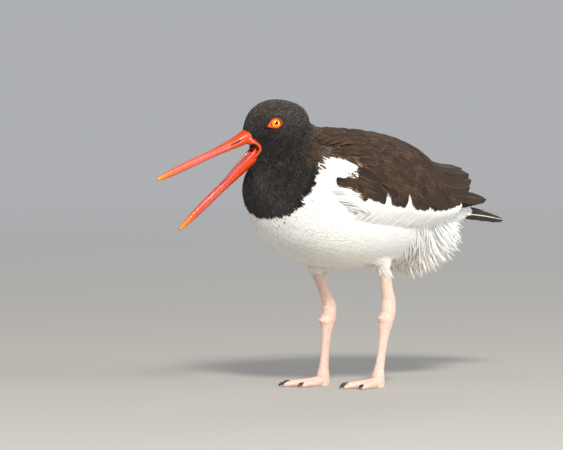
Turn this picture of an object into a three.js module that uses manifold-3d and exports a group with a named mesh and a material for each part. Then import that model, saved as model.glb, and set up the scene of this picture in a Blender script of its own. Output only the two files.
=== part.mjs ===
import * as THREE from "three";
import { mergeVertices } from "three/addons/utils/BufferGeometryUtils.js";
import Module from "manifold-3d";

// An American oystercatcher, life size, standing and calling with its bill open.
// Millimetres, +Z up. The body faces -Y and its left side is +X. The head is turned to its right.
// The bird is built about a point on the floor under its back and centred on its own box at the end.

const wasm = await Module();
wasm.setup();

const gap = 0.3; // between pieces that touch
const clearance = 0.7; // under a slab of coverts, whose flat facets dip towards the flesh
const thinnest = 0.5; // the least thickness of a vane away from its tip

// Driving dimensions
const bodyFront = -104;
const bodyRear = 118;
const backHeight = 222; // top of the back above the floor
const upperBillLength = 88;
const lowerBillLength = 87;
const headYaw = THREE.MathUtils.degToRad(23); // turned to the bird's right
const headPitch = THREE.MathUtils.degToRad(10); // bowed
const headCentre = new THREE.Vector3(-3, -80, 222);
const skullReach = 30; // half length of the head, bill left out
const skullHalfWidth = 20.5;
const eyeRadius = 4.3;
const tailEndY = 171;
const primaryTipY = 158;
const middleToe = 35;
const outerToe = 30;
const innerToe = 27;
const clawLength = 7;

const vec = (x, y, z) => new THREE.Vector3(x, y, z);
const rad = THREE.MathUtils.degToRad;
const lerp = THREE.MathUtils.lerp;
const clamp = THREE.MathUtils.clamp;
const smoothstep = THREE.MathUtils.smoothstep;

// A smooth line through [place, value] knots, each slope the mean of the chords beside it.
function through(...knots) {
  const chord = (i) => (knots[i + 1][1] - knots[i][1]) / (knots[i + 1][0] - knots[i][0]);
  const last = knots.length - 1;
  const slopes = knots.map((_, i) =>
    i === 0 ? chord(0) : i === last ? chord(last - 1) : (chord(i - 1) + chord(i)) / 2,
  );
  return (place) => {
    const x = clamp(place, knots[0][0], knots[last][0]);
    let i = 0;
    while (i < last - 1 && x > knots[i + 1][0]) i++;
    const [x0, v0] = knots[i];
    const [x1, v1] = knots[i + 1];
    const step = x1 - x0;
    const t = (x - x0) / step;
    const t2 = t * t;
    const t3 = t2 * t;
    return (
      v0 * (2 * t3 - 3 * t2 + 1) +
      slopes[i] * step * (t3 - 2 * t2 + t) +
      v1 * (3 * t2 - 2 * t3) +
      slopes[i + 1] * step * (t3 - t2)
    );
  };
}

// Seeded numbers from -1 to 1, so that the feathers vary alike in each run.
function seeded(seed) {
  let state = seed;
  return () => {
    state = (state * 16807) % 2147483647;
    return (state / 2147483647) * 2 - 1;
  };
}

// A closed mesh as a solid, turned right side out.
function solid(geometry) {
  const bare = geometry.clone();
  for (const name of Object.keys(bare.attributes)) if (name !== "position") bare.deleteAttribute(name);
  const merged = mergeVertices(bare, 1e-3);
  const points = merged.getAttribute("position").array;
  const faces = Array.from(merged.index.array);
  const kept = [];
  for (let i = 0; i < faces.length; i += 3) {
    const [a, b, c] = faces.slice(i, i + 3);
    if (a !== b && b !== c && a !== c) kept.push(a, b, c);
  }
  const at = (i) => vec(points[3 * i], points[3 * i + 1], points[3 * i + 2]);
  let volume = 0;
  for (let i = 0; i < kept.length; i += 3) {
    volume += at(kept[i]).dot(at(kept[i + 1]).cross(at(kept[i + 2])));
  }
  if (volume < 0) {
    for (let i = 0; i < kept.length; i += 3) [kept[i + 1], kept[i + 2]] = [kept[i + 2], kept[i + 1]];
  }
  return new wasm.Manifold(
    new wasm.Mesh({ numProp: 3, vertProperties: points, triVerts: new Uint32Array(kept) }),
  );
}

const joined = (solids) => solids.reduce((whole, next) => whole.add(next));

// The largest closed surface of a solid: loose scraps and sealed hollows go.
function largest(made) {
  return made.decompose().reduce((best, next) => (next.volume() > best.volume() ? next : best));
}

const bird = new THREE.Group();

const paint = {
  black: new THREE.MeshStandardMaterial({ color: 0x262322, roughness: 0.85 }),
  white: new THREE.MeshStandardMaterial({ color: 0xf2f0ea, roughness: 0.9 }),
  brown: new THREE.MeshStandardMaterial({ color: 0x4a3a30, roughness: 0.75 }),
  orange: new THREE.MeshStandardMaterial({ color: 0xe8431c, roughness: 0.35 }),
  pink: new THREE.MeshStandardMaterial({ color: 0xf0c9b4, roughness: 0.6 }),
  yellow: new THREE.MeshStandardMaterial({ color: 0xf5b70a, roughness: 0.1 }),
  maroon: new THREE.MeshStandardMaterial({ color: 0x4a1012, roughness: 0.5 }),
  tongue: new THREE.MeshStandardMaterial({ color: 0xd0787a, roughness: 0.45 }),
  claw: new THREE.MeshStandardMaterial({ color: 0x1c1815, roughness: 0.4 }),
};

// The triangles of a solid, each corner on a hundredth of a millimetre.
function meshOf(made) {
  const mesh = made.getMesh();
  const geometry = new THREE.BufferGeometry();
  const spots = mesh.vertProperties.map((value) => Math.round(value * 100) / 100);
  geometry.setAttribute("position", new THREE.BufferAttribute(spots, 3));
  geometry.setIndex(new THREE.BufferAttribute(mesh.triVerts, 1));
  return geometry;
}

// Slivers go first, then the solid is made again from its rounded corners, and its main body is kept.
function addNode(name, made, material) {
  const rounded = solid(meshOf(largest(made).simplify(0.04)));
  const geometry = meshOf(largest(rounded));
  geometry.computeVertexNormals();
  const piece = new THREE.Mesh(geometry, material);
  piece.name = name;
  bird.add(piece);
}

// A round form: a sphere whose point at (along 0 to 1, angle round) is moved to place(along, angle).
function rounded(place, around, along) {
  const ball = new THREE.SphereGeometry(1, around, along);
  const spots = ball.getAttribute("position");
  const uv = ball.getAttribute("uv");
  for (let i = 0; i < spots.count; i++) {
    const angle = (Math.round(uv.getX(i) * around * 2) / (around * 2)) * 2 * Math.PI;
    const pole = uv.getY(i) > 0.9999 || uv.getY(i) < 0.0001;
    const point = place(1 - uv.getY(i), pole ? 0 : angle % (2 * Math.PI));
    spots.setXYZ(i, point.x, point.y, point.z);
  }
  return solid(ball);
}

// A closed plate between two faces, each a function of (across, along), both split alike.
function plate(outer, inner, across, along) {
  const grid = new THREE.PlaneGeometry(1, 1, across, along);
  const uv = grid.getAttribute("uv");
  const front = Array.from(grid.index.array);
  const count = uv.count;
  const spots = [];
  for (const face of [outer, inner]) {
    for (let i = 0; i < count; i++) spots.push(...face(uv.getX(i), 1 - uv.getY(i)).toArray());
  }
  const faces = [...front];
  for (let i = 0; i < front.length; i += 3) {
    faces.push(front[i] + count, front[i + 2] + count, front[i + 1] + count);
  }
  const row = across + 1;
  const edge = [];
  for (let i = 0; i < along; i++) edge.push(i * row);
  for (let j = 0; j < across; j++) edge.push(along * row + j);
  for (let i = along; i > 0; i--) edge.push(i * row + across);
  for (let j = across; j > 0; j--) edge.push(j);
  edge.forEach((p, k) => {
    const q = edge[(k + 1) % edge.length];
    faces.push(q, p, p + count, q, p + count, q + count);
  });
  const closed = new THREE.BufferGeometry();
  closed.setAttribute("position", new THREE.BufferAttribute(new Float32Array(spots), 3));
  closed.setIndex(faces);
  return solid(closed);
}

// A feather vane: a thin tapered blade along a line, arched across, its outer face given by a normal.
function vane({ line, facing, halfWidth, thick, arch = 0.25, roll = 0, steps = 4, pad = 0 }) {
  const frame = (t) => {
    const ahead = line(Math.min(1, t + 0.01)).sub(line(Math.max(0, t - 0.01))).normalize();
    const out = facing(t).clone();
    out.addScaledVector(ahead, -out.dot(ahead)).normalize();
    const side = ahead.clone().cross(out).normalize();
    const turn = new THREE.Quaternion().setFromAxisAngle(ahead, roll);
    return { ahead, out: out.applyQuaternion(turn), side: side.applyQuaternion(turn) };
  };
  const outline = (t) => halfWidth * Math.sqrt(clamp(Math.min((t + 0.12) * 3, (1.03 - t) * 3.2), 0.02, 1));
  const face = (sign) => (u, v) => {
    const t = v;
    const s = u * 2 - 1;
    const { ahead, out, side } = frame(t);
    const half = Math.max(0.35, outline(t)) + pad;
    const depth = lerp(thick, thinnest, t) * (1 - 0.3 * Math.abs(s)) + 2 * pad;
    return line(t)
      .addScaledVector(ahead, pad * (t > 0.99 ? 1 : 0))
      .addScaledVector(side, s * half)
      .addScaledVector(out, -arch * half * s * s + (sign * depth) / 2);
  };
  return plate(face(1), face(-1), 2, steps);
}

// Torso: rings along Y, each half as wide, tall and deep as these lines say.
const torsoMiddle = (bodyFront + bodyRear) / 2;
const torsoReach = (bodyRear - bodyFront) / 2;
const torsoAxis = through([-104, 170], [-60, 165], [0, 160], [60, 157], [118, 152]);
const torsoRise = through([-104, 60], [-60, 58], [-20, 56], [36, 53], [66, 49], [91, 40], [118, 33]);
const torsoSag = through([-104, 80], [-80, 71], [-50, 66], [-20, 61.5], [20, 58.5], [60, 58], [118, 52]);
const torsoBreadth = through([-104, 76], [-80, 69], [-50, 61], [-20, 57], [20, 55], [60, 51], [118, 44]);
const fullness = 2 / 2.15;

function ringPoint(angle, half, rise, sag) {
  const s = Math.sin(angle);
  const c = Math.cos(angle);
  const x = Math.sign(s) * Math.abs(s) ** fullness * half;
  const z = Math.sign(c) * Math.abs(c) ** fullness * (c > 0 ? rise : sag);
  return [x, z];
}

// The torso's point at a ring's y and the angle round it from the top towards the left.
function torsoPoint(y, angle, pad = 0) {
  const share = clamp((y - torsoMiddle) / (torsoReach + pad), -1, 1);
  const round = Math.sqrt(1 - share * share);
  const [x, z] = ringPoint(
    angle,
    torsoBreadth(y) * round + pad,
    torsoRise(y) * round + pad,
    torsoSag(y) * round + pad,
  );
  return vec(x, y, torsoAxis(y) + z);
}

const torsoForm = (pad, around, along) =>
  rounded(
    (t, angle) => {
      const y = torsoMiddle - (torsoReach + pad) * Math.cos(t * Math.PI);
      const flat = t < 1e-4 || t > 1 - 1e-4;
      return flat ? vec(0, y, torsoAxis(y)) : torsoPoint(y, angle, pad);
    },
    around,
    along,
  );

// Folded wings and back: the outer surface that their feathers lie on, an arch over the torso.
const mantleHalf = through([-80, 47], [-40, 59], [0, 61.5], [40, 58], [70, 51], [95, 41], [120, 30], [145, 20], [168, 12]);
const mantleTop = through(
  [-80, 214],
  [-40, backHeight - 0.5],
  [0, backHeight - 2],
  [28, 216.5],
  [46, 212.5],
  [58, 208.5],
  [67, 204],
  [75, 198.5],
  [84, 193.5],
  [95, 189.5],
  [107, 187],
  [125, 185],
  [145, 180],
  [168, 169],
);
const mantleAxis = through([-80, 166], [0, 161], [60, 157], [120, 155], [168, 154]);

function mantlePoint(y, angle, lift = 0) {
  const [x, z] = ringPoint(angle, mantleHalf(y) + lift, mantleTop(y) - mantleAxis(y) + lift, 44 + lift);
  return vec(x, y, mantleAxis(y) + z);
}

function mantleNormal(y, angle) {
  const along = mantlePoint(y + 2, angle).sub(mantlePoint(y - 2, angle));
  const round = mantlePoint(y, angle + 0.05).sub(mantlePoint(y, angle - 0.05));
  return along.cross(round).negate().normalize();
}

// A feather on the mantle surface, from (y, degrees) at its root to (y, degrees) at its tip.
function mantleFeather({ from, to, sink = 1.7, rise = 1, halfWidth, thick = 0.6, roll = 0, steps = 2, side = 1, pad = 0 }) {
  const at = (t) => [lerp(from[0], to[0], t), side * rad(lerp(from[1], to[1], t))];
  return vane({
    line: (t) => mantlePoint(...at(t), lerp(-sink, rise, Math.min(1, t * 1.8))),
    facing: (t) => mantleNormal(...at(t)),
    halfWidth,
    thick,
    arch: 0.08,
    roll: side * roll,
    steps,
    pad,
  });
}

// A slab of small coverts between two rings and two angles, thinned at the ends and edges asked for.
function mantleSlab({ yFrom, yTo, from, to, side = 1, across, along, thinFrom = false, thinTo = false, pad = 0 }) {
  const edge = 12;
  const spot = (u, v) => {
    const y = lerp(yFrom - pad, yTo + pad, v);
    return [y, side * rad(lerp(from(y), to(y), u) + (u * 2 - 1) * pad)];
  };
  const floorPoint = (y, angle, lift) => {
    const flesh = torsoPoint(y, angle, lift);
    const under = mantlePoint(y, angle, lift - 6);
    return Math.hypot(flesh.x, flesh.z - 160) > Math.hypot(under.x, under.z - 160) ? flesh : under;
  };
  const outer = (u, v) => {
    const [y, angle] = spot(u, v);
    const room = [y - yFrom, (yTo - y) * 1.5];
    if (thinFrom) room.push(u * 50);
    if (thinTo) room.push((1 - u) * 50);
    const full = smoothstep(Math.min(...room), -edge * 0.3, edge);
    return floorPoint(y, angle, clearance + 1.2).lerp(mantlePoint(y, angle, -0.8), full);
  };
  const inner = (u, v) => {
    const [y, angle] = spot(u, v);
    return floorPoint(y, angle, pad ? -1 : clearance);
  };
  return plate(outer, inner, across, along);
}

// Head frame: forward along the skull, left, and up.
const forward = vec(
  -Math.sin(headYaw) * Math.cos(headPitch),
  -Math.cos(headYaw) * Math.cos(headPitch),
  -Math.sin(headPitch),
);
const left = vec(Math.cos(headYaw), -Math.sin(headYaw), 0);
const upward = forward.clone().cross(left);
const inHead = (f, l, u) =>
  headCentre.clone().addScaledVector(forward, f).addScaledVector(left, l).addScaledVector(upward, u);

// Skull: rings along the forward axis. The crown is flat and high, the face narrows to the bill.
const faceFront = 33;
const skullTop = through([-30, 26], [-16, 24.5], [0, 26.5], [14, 30], [24, 33], [33, 30]);
const skullBottom = through([-30, 30], [-10, 30], [10, 33], [24, 44], [33, 52]);
const skullHalf = through([-30, 24], [-12, 21.5], [4, skullHalfWidth], [12, 17.5], [20, 12.5], [27, 11.5], [33, 11]);
const skullAxis = through([-30, 2], [0, -1], [20, -6], [33, -9]);

const headForm = (pad, around, along) =>
  rounded(
    (t, angle) => {
      const middle = (faceFront - skullReach) / 2;
      const half = (faceFront + skullReach) / 2 + pad;
      const f = middle - half * Math.cos(t * Math.PI);
      const round = Math.sqrt(Math.max(0, 1 - ((f - middle) / half) ** 2));
      const [l, u] = ringPoint(angle, skullHalf(f) * round + pad, skullTop(f) * round + pad, skullBottom(f) * round + pad);
      return t < 1e-4 || t > 1 - 1e-4 ? inHead(f, 0, skullAxis(f)) : inHead(f, l, skullAxis(f) + u);
    },
    around,
    along,
  );

// Neck: a short thick stalk from inside the breast up into the head.
const neckLine = new THREE.CatmullRomCurve3([
  vec(0, -34, 150),
  vec(0, -58, 178),
  vec(0.5, -70, 200),
  vec(-1, -80, 221),
  vec(-5, -84, 234),
]);
const neckSide = through([0, 44], [0.35, 44], [0.55, 36], [0.7, 25.5], [0.85, 18.5], [1, 15]);
const neckFore = through([0, 52], [0.35, 47], [0.5, 40], [0.6, 31], [0.7, 20], [0.85, 15], [1, 12]);
const neckBack = through([0, 46], [0.35, 44], [0.6, 42], [0.8, 33], [1, 22]);

const neckForm = (around, along) =>
  rounded(
    (t, angle) => {
      const share = (1 - Math.cos(t * Math.PI)) / 2;
      const centre = neckLine.getPoint(share);
      const ahead = neckLine.getTangent(share);
      const side = vec(1, 0, 0);
      const fore = side.clone().cross(ahead).normalize();
      const round = Math.sqrt(Math.max(0, 1 - (2 * share - 1) ** 4));
      if (t < 1e-4 || t > 1 - 1e-4) return centre;
      const [x, z] = ringPoint(angle, neckSide(share) * round, neckFore(share) * round, neckBack(share) * round);
      return centre.addScaledVector(side, x).addScaledVector(fore, z);
    },
    around,
    along,
  );

// A tapering bar along a straight line in the head's plane, with rings given by their half sizes.
function bar({ base, tip, width, above, below, pad = 0, around = 12, along = 9, bend = 0 }) {
  const direction = tip.clone().sub(base);
  const length = direction.length();
  direction.normalize();
  const up = direction.clone().cross(left).normalize();
  return rounded(
    (t, angle) => {
      const share = t;
      const ring = share <= 0 || share >= 1 ? 0 : 1;
      const along01 = clamp((share * (along + 0) - 1) / (along - 2), 0, 1);
      const end = share >= 1 ? 1.2 + pad : share <= 0 ? -pad : 0;
      const point = base.clone().addScaledVector(direction, along01 * length + end);
      point.addScaledVector(up, bend * Math.sin(along01 * Math.PI));
      const c = Math.cos(angle);
      const l = ring * Math.sin(angle) * (width(along01) + pad);
      const u = ring * c * ((c > 0 ? above(along01) : below(along01)) + pad);
      return point.addScaledVector(left, l).addScaledVector(up, u);
    },
    around,
    along,
  );
}

// Upper bill: deep at the base, even along its middle, then down to a blunt chisel.
const upperBase = inHead(25, 0, -2);
const upperDirection = inHead(113.9, 0, -23.1).sub(inHead(27, 0, -3)).normalize();
const upperTip = upperBase.clone().addScaledVector(upperDirection, upperBillLength + 1);
const upperBar = (pad) =>
  bar({
    base: upperBase,
    tip: upperTip,
    width: through([0, 6.8], [0.15, 5.6], [0.35, 4.2], [0.7, 2.9], [0.92, 2], [1, 1.3]),
    above: through([0, 7.4], [0.15, 5.4], [0.35, 3.9], [0.7, 3.7], [0.92, 2.7], [1, 1.5]),
    below: through([0, 6.6], [0.15, 5], [0.35, 3.7], [0.7, 3.5], [0.92, 2.5], [1, 1.5]),
    pad,
    along: 13,
  });

// Lower bill: two rami with the tongue between them, joined for its outer half.
const lowerBase = inHead(25.5, 0, -19);
const lowerDirection = inHead(101.3, 0, -67.6).sub(inHead(27, 0, -20)).normalize();
const lowerTip = lowerBase.clone().addScaledVector(lowerDirection, lowerBillLength + 1);
const lowerWidth = through([0, 7.4], [0.2, 5.8], [0.42, 3.8], [0.7, 2.7], [0.92, 1.9], [1, 1.2]);
const lowerBar = (pad) =>
  bar({
    base: lowerBase,
    tip: lowerTip,
    width: lowerWidth,
    above: through([0, 5.6], [0.2, 4.3], [0.42, 3.6], [0.7, 3.4], [0.92, 2.4], [1, 1.4]),
    below: through([0, 6.4], [0.2, 5], [0.42, 4.1], [0.7, 3.6], [0.92, 2.4], [1, 1.4]),
    pad,
    along: 13,
  });
const lowerUp = lowerDirection.clone().cross(left).normalize();
const troughEnd = 0.46;

// The trough between the rami, open at the top and over the base.
const trough = (pad) =>
  bar({
    base: lowerBase.clone().addScaledVector(lowerDirection, -9).addScaledVector(lowerUp, 6.2),
    tip: lowerBase.clone().addScaledVector(lowerDirection, lowerBillLength * troughEnd).addScaledVector(lowerUp, 4.6),
    width: through([0, 5.8], [0.5, 4.2], [1, 0.6]),
    above: () => 5,
    below: through([0, 8.2], [0.5, 5.2], [1, 1]),
    pad,
    along: 8,
  });

const tongueForm = (pad) => bar({
  base: lowerBase.clone().addScaledVector(lowerDirection, -2).addScaledVector(lowerUp, 3),
  tip: lowerBase.clone().addScaledVector(lowerDirection, lowerBillLength * (troughEnd - 0.06)).addScaledVector(lowerUp, 3.1),
  width: through([0, 4.6], [0.5, 3], [1, 0.5]),
  above: through([0, 2.6], [1, 0.7]),
  below: through([0, 2], [1, 0.7]),
  pad,
  along: 8,
  around: 8,
});

// The mouth: a wedge-shaped pocket between the jaws, back to the gape.
const gapeCorner = inHead(20.5, 0, -11.5);
const mouthPocket = (pad) =>
  bar({
    base: inHead(12, 0, -10),
    tip: inHead(58, 0, -22),
    width: through([0, 4.5], [0.3, 6], [1, 7]),
    above: through([0, 2.5], [0.25, 4.5], [1, 7]),
    below: through([0, 3], [0.25, 6], [1, 16]),
    pad,
    along: 8,
  });

// The open mouth in the flesh: a wedge between the jaws, wider than the face, ahead of the gape.
function mouthWedge() {
  const side = new THREE.Shape([
    new THREE.Vector2(21.5, -12.4),
    new THREE.Vector2(27, -10.5),
    new THREE.Vector2(46, -12),
    new THREE.Vector2(46, -28),
    new THREE.Vector2(27, -15),
  ]);
  const wedge = new THREE.ExtrudeGeometry(side, { depth: 27, bevelEnabled: false, curveSegments: 1 });
  wedge.translate(0, 0, -13.5);
  const place = new THREE.Matrix4().makeBasis(forward, upward, forward.clone().cross(upward));
  return solid(wedge.applyMatrix4(place.setPosition(headCentre)));
}

// Flesh at the gape: a band down each side of the mouth from the upper jaw to the lower.
function gapeBand(side, pad = 0) {
  const path = new THREE.CatmullRomCurve3([
    inHead(30.5, side * 5.6, -7.4),
    inHead(25.5, side * 7.1, -9),
    inHead(22, side * 7.8, -12.4),
    inHead(23.4, side * 7.6, -15.6),
    inHead(27.5, side * 6.8, -18.6),
  ]);
  const section = new THREE.Shape();
  section.absellipse(0, 0, 1.9 + pad, 1.4 + pad, 0, Math.PI * 2);
  return solid(new THREE.ExtrudeGeometry(section, { steps: 6, extrudePath: path, curveSegments: 3 }));
}

const nostril = (side) =>
  bar({
    base: upperBase.clone().addScaledVector(upperDirection, 10.5).addScaledVector(left, side * 6.9),
    tip: upperBase.clone().addScaledVector(upperDirection, 17.5).addScaledVector(left, side * 5.9),
    width: () => 1.3,
    above: () => 0.8,
    below: () => 0.8,
    around: 8,
    along: 5,
  });

// Eyes: a ball set in the side of the skull, with a raised ring of bare lid round it,
// drawn out to a corner at the front.
const eyeFacing = (side) =>
  left.clone().multiplyScalar(side).addScaledVector(upward, 0.2).addScaledVector(forward, 0.1).normalize();
const eyeCentre = (side) => inHead(5.9, side * 18.3, 6.6).addScaledVector(eyeFacing(side), 0.7 - eyeRadius);

function ballAt(centre, radius, around = 12, along = 7) {
  return solid(new THREE.SphereGeometry(radius, around, along).translate(centre.x, centre.y, centre.z));
}

function lidRing(side, pad = 0) {
  const ring = new THREE.TorusGeometry(3.7, 0.9 + pad, 5, 14);
  const spots = ring.getAttribute("position");
  for (let i = 0; i < spots.count; i++) {
    const ahead = Math.max(0, spots.getX(i) - 2);
    spots.setXYZ(i, spots.getX(i) * 1.2 + ahead * 0.9, spots.getY(i) * (0.97 - ahead * 0.12) - ahead * 0.5, spots.getZ(i));
  }
  const out = eyeFacing(side);
  const ahead = forward.clone().addScaledVector(out, -forward.dot(out)).normalize();
  const facing = new THREE.Matrix4().makeBasis(ahead, out.clone().cross(ahead), out);
  if (side < 0) ring.applyMatrix4(new THREE.Matrix4().makeScale(1, -1, 1));
  ring.applyMatrix4(facing.setPosition(inHead(5.9, side * 18.3, 6.6)));
  return solid(ring);
}

// Tail: a shallow arch of ten feathers, the middle pair uppermost, on a root that thins rearward.
const tailRootStart = 92;
const tailRootEnd = 146;
const tailRootAxis = through([92, 152], [118, 150], [146, 144]);
const tailRoot = (pad) =>
  rounded(
    (t, angle) => {
      const share = (1 - Math.cos(t * Math.PI)) / 2;
      const y = lerp(tailRootStart, tailRootEnd, share);
      const round = Math.sqrt(Math.max(0, 1 - (2 * share - 1) ** 4));
      const half = lerp(24, 17, share) * round + pad;
      const rise = lerp(16, 3.5, share) * round + pad;
      const sag = lerp(30, 5, Math.sqrt(share)) * round + pad;
      const [x, z] = ringPoint(angle, half, rise, sag);
      return round < 1e-6 ? vec(0, y, tailRootAxis(y)) : vec(x, y, tailRootAxis(y) + z);
    },
    16,
    8,
  );

function tailFeathers() {
  const pairs = 5;
  const feathers = [];
  for (const side of [-1, 1]) {
    for (let i = 0; i < pairs; i++) {
      const share = (i + 0.35) / pairs; // 0 at the middle, 1 at the outer edge
      const spread = side * share;
      const root = vec(spread * 12, 126, 147.5 - 0.95 * i);
      const tip = vec(spread * 29, tailEndY - 3.5 * share * share, 140 - 0.95 * i);
      feathers.push(
        vane({
          line: (t) => root.clone().lerp(tip, t).add(vec(0, 0, 1.6 * Math.sin(t * Math.PI))),
          facing: () => vec(spread * 0.1, 0.2, 1),
          halfWidth: 6.4,
          thick: 0.6,
          arch: 0.05,
          steps: 3,
        }),
      );
    }
  }
  for (const side of [-1, 1]) {
    for (let i = 0; i < 2; i++) {
      const root = vec(side * (4 + 8 * i), 112, 156 - 2 * i);
      const tip = vec(side * (5 + 9 * i), 143 - 3 * i, 149.5 - 2.4 * i);
      feathers.push(
        vane({
          line: (t) => root.clone().lerp(tip, t).add(vec(0, 0, 2 * Math.sin(t * Math.PI))),
          facing: () => vec(side * 0.2 * i, 0.1, 1),
          halfWidth: 7,
          thick: 0.8,
          steps: 3,
        }),
      );
    }
  }
  return feathers;
}

// Loose vent feathers: tapered blades that hang from the belly's rear edge.
function ventFeathers() {
  const vary = seeded(71);
  const feathers = [];
  const rows = [
    { y: 60, from: 130, count: 3, length: 24, drop: 66 },
    { y: 76, from: 122, count: 3, length: 25, drop: 58 },
    { y: 91, from: 116, count: 3, length: 22, drop: 50 },
    { y: 103, from: 112, count: 2, length: 16, drop: 36 },
  ];
  for (const row of rows) {
    for (const side of [-1, 1]) {
      for (let i = 0; i < row.count; i++) {
        const angle = side * rad(lerp(row.from, 172, i / (row.count - 1)) + 3 * vary());
        const root = torsoPoint(row.y + 3 * vary(), angle, -3);
        const outward = torsoPoint(row.y, angle, 4).sub(torsoPoint(row.y, angle, 0)).normalize();
        const drop = rad(row.drop + 6 * vary());
        const lie = vec(outward.x * 0.18, Math.cos(drop), -Math.sin(drop)).normalize();
        const length = row.length * (1 + 0.12 * vary());
        feathers.push(
          vane({
            line: (t) =>
              root
                .clone()
                .addScaledVector(lie, length * t)
                .addScaledVector(outward, 2.6 * Math.sin(t * 2.4)),
            facing: () => outward,
            halfWidth: 6.6,
            thick: 1.5,
            steps: 2,
          }),
        );
      }
    }
  }
  return feathers;
}

// Wing of one side: coverts in tiers over a slab, then long tertials, secondaries and the primaries.
const wingTop = (y) => lerp(41, 15, smoothstep(y, 25, 108)); // degrees from the top to the scapulars' edge
const wingBottom = through([-56, 84], [-40, 92], [0, 99], [50, 101], [90, 96], [118, 88]);

function wingOf(side) {
  const vary = seeded(side > 0 ? 11 : 23);
  const pieces = [
    mantleSlab({
      yFrom: -56,
      yTo: 108,
      from: wingTop,
      to: (y) => wingBottom(y) - 6,
      side,
      across: 5,
      along: 9,
      thinTo: true,
    }),
  ];
  const tiers = [
    { y: -36, count: 3, from: 53, to: 74, length: 34, turn: 8, halfWidth: 10, rise: 0.9 },
    { y: -10, count: 4, from: 52.5, to: 81, length: 40, turn: 8, halfWidth: 10, rise: 1 },
    { y: 18, count: 4, from: 52.5, to: 84, length: 46, turn: 8, halfWidth: 10, rise: 1 },
    { y: 48, count: 2, from: 77, to: 86, length: 48, turn: 8, halfWidth: 8.5, rise: 0.7 },
  ];
  tiers.forEach((tier) => {
    for (let i = 0; i < tier.count; i++) {
      const angle = lerp(tier.from, tier.to, i / (tier.count - 1)) + 1.2 * vary();
      const y = tier.y + 3 * vary();
      const end = y + tier.length * (1 + 0.06 * vary());
      pieces.push(
        mantleFeather({
          from: [y, angle],
          to: [end, Math.min(angle + tier.turn, wingBottom(end) - 5)],
          halfWidth: tier.halfWidth,
          rise: tier.rise,
          roll: -0.14,
          side,
        }),
      );
    }
  });
  const tertials = [
    { from: [40, 50], to: [133, 24], rise: 1.8, halfWidth: 9.5 },
    { from: [44, 60], to: [137, 48], rise: 1.2, halfWidth: 9 },
    { from: [48, 68], to: [130, 70], rise: 0.6, halfWidth: 8.5 },
    { from: [54, 75], to: [116, 86], rise: 0.2, halfWidth: 8 },
  ];
  tertials.forEach((feather) => {
    pieces.push(mantleFeather({ ...feather, thick: 0.8, roll: -0.14, steps: 4, side }));
  });
  for (let i = 0; i < 5; i++) {
    const root = mantlePoint(70 + 3 * i, side * rad(76), -5);
    const tip = vec(side * (11.5 + 1.3 * i), primaryTipY - 7.5 * (4 - i), 158.5 + 0.3 * i);
    pieces.push(
      vane({
        line: (t) => root.clone().lerp(tip, t).add(vec(0, 0, (i - 3) * 0.95 * Math.sqrt(t) - Math.sin(t * Math.PI))),
        facing: () => vec(side * 0.85, 0.1, 0.5),
        halfWidth: 6.8,
        thick: 0.6,
        arch: 0.1,
        steps: 3,
      }),
    );
  }
  return joined(pieces);
}

// Back: the mantle down the middle with a tier of scapulars on each side, and the rump behind.
function backOf(pad) {
  const vary = seeded(37);
  const pieces = [
    mantleSlab({
      yFrom: -50,
      yTo: 112,
      from: (y) => -wingTop(y) + 0.7,
      to: (y) => wingTop(y) - 0.7,
      across: 8,
      along: 10,
      pad,
    }),
  ];
  const tiers = [
    { y: -36, angles: [-29, -10, 10, 29], length: 36 },
    { y: -8, angles: [-29, -10, 10, 29], length: 40 },
    { y: 20, angles: [-25, -8, 8, 25], length: 44 },
    { y: 52, angles: [-11, 11], length: 40 },
  ];
  tiers.forEach((tier) => {
    for (const angle of tier.angles) {
      const side = Math.sign(angle) || 1;
      const y = tier.y + 2.5 * vary();
      const size = Math.abs(angle) + 0.8 * vary();
      pieces.push(
        mantleFeather({
          from: [y, size],
          to: [y + tier.length * (1 + 0.05 * vary()), size * (tier.y > 0 ? 0.8 : 0.97)],
          halfWidth: 9.5,
          rise: 1,
          roll: -0.12,
          side,
          pad,
        }),
      );
    }
  });
  return joined(pieces);
}

// Legs: rings of given half sizes along a bent line.
function limb({ points, half, deep, around = 12, along = 14, pad = 0, turned = 0 }) {
  const line = new THREE.CatmullRomCurve3(points, false, "centripetal");
  return rounded(
    (t, angle) => {
      const share = clamp((t * along - 1) / (along - 2), 0, 1);
      const centre = line.getPointAt(share);
      const ahead = line.getTangentAt(share);
      if (t <= 0 || t >= 1) {
        const end = centre.addScaledVector(ahead, (t <= 0 ? -1 : 1) * (0.8 + pad));
        return vec(end.x, end.y, Math.max(0, end.z));
      }
      const side = vec(1, 0, 0).addScaledVector(ahead, -ahead.x).normalize();
      const fore = ahead.clone().cross(side);
      const point = centre
        .addScaledVector(side, Math.sin(angle + turned) * (half(share) + pad))
        .addScaledVector(fore, Math.cos(angle + turned) * (deep(share) + pad));
      return vec(point.x, point.y, Math.max(0, point.z));
    },
    around,
    along,
  );
}

const legs = [
  {
    side: "left",
    hip: vec(27, 10, 126),
    fluff: vec(23, 25, 97),
    heel: vec(22.5, 30.5, 72.5),
    foot: vec(20, 20, 8),
    toeTurn: rad(-10),
  },
  {
    side: "right",
    hip: vec(-27, -14, 122),
    fluff: vec(-20, -10, 92),
    heel: vec(-20, 1, 70),
    foot: vec(-25, -1, 8),
    toeTurn: rad(-25),
  },
];

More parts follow.
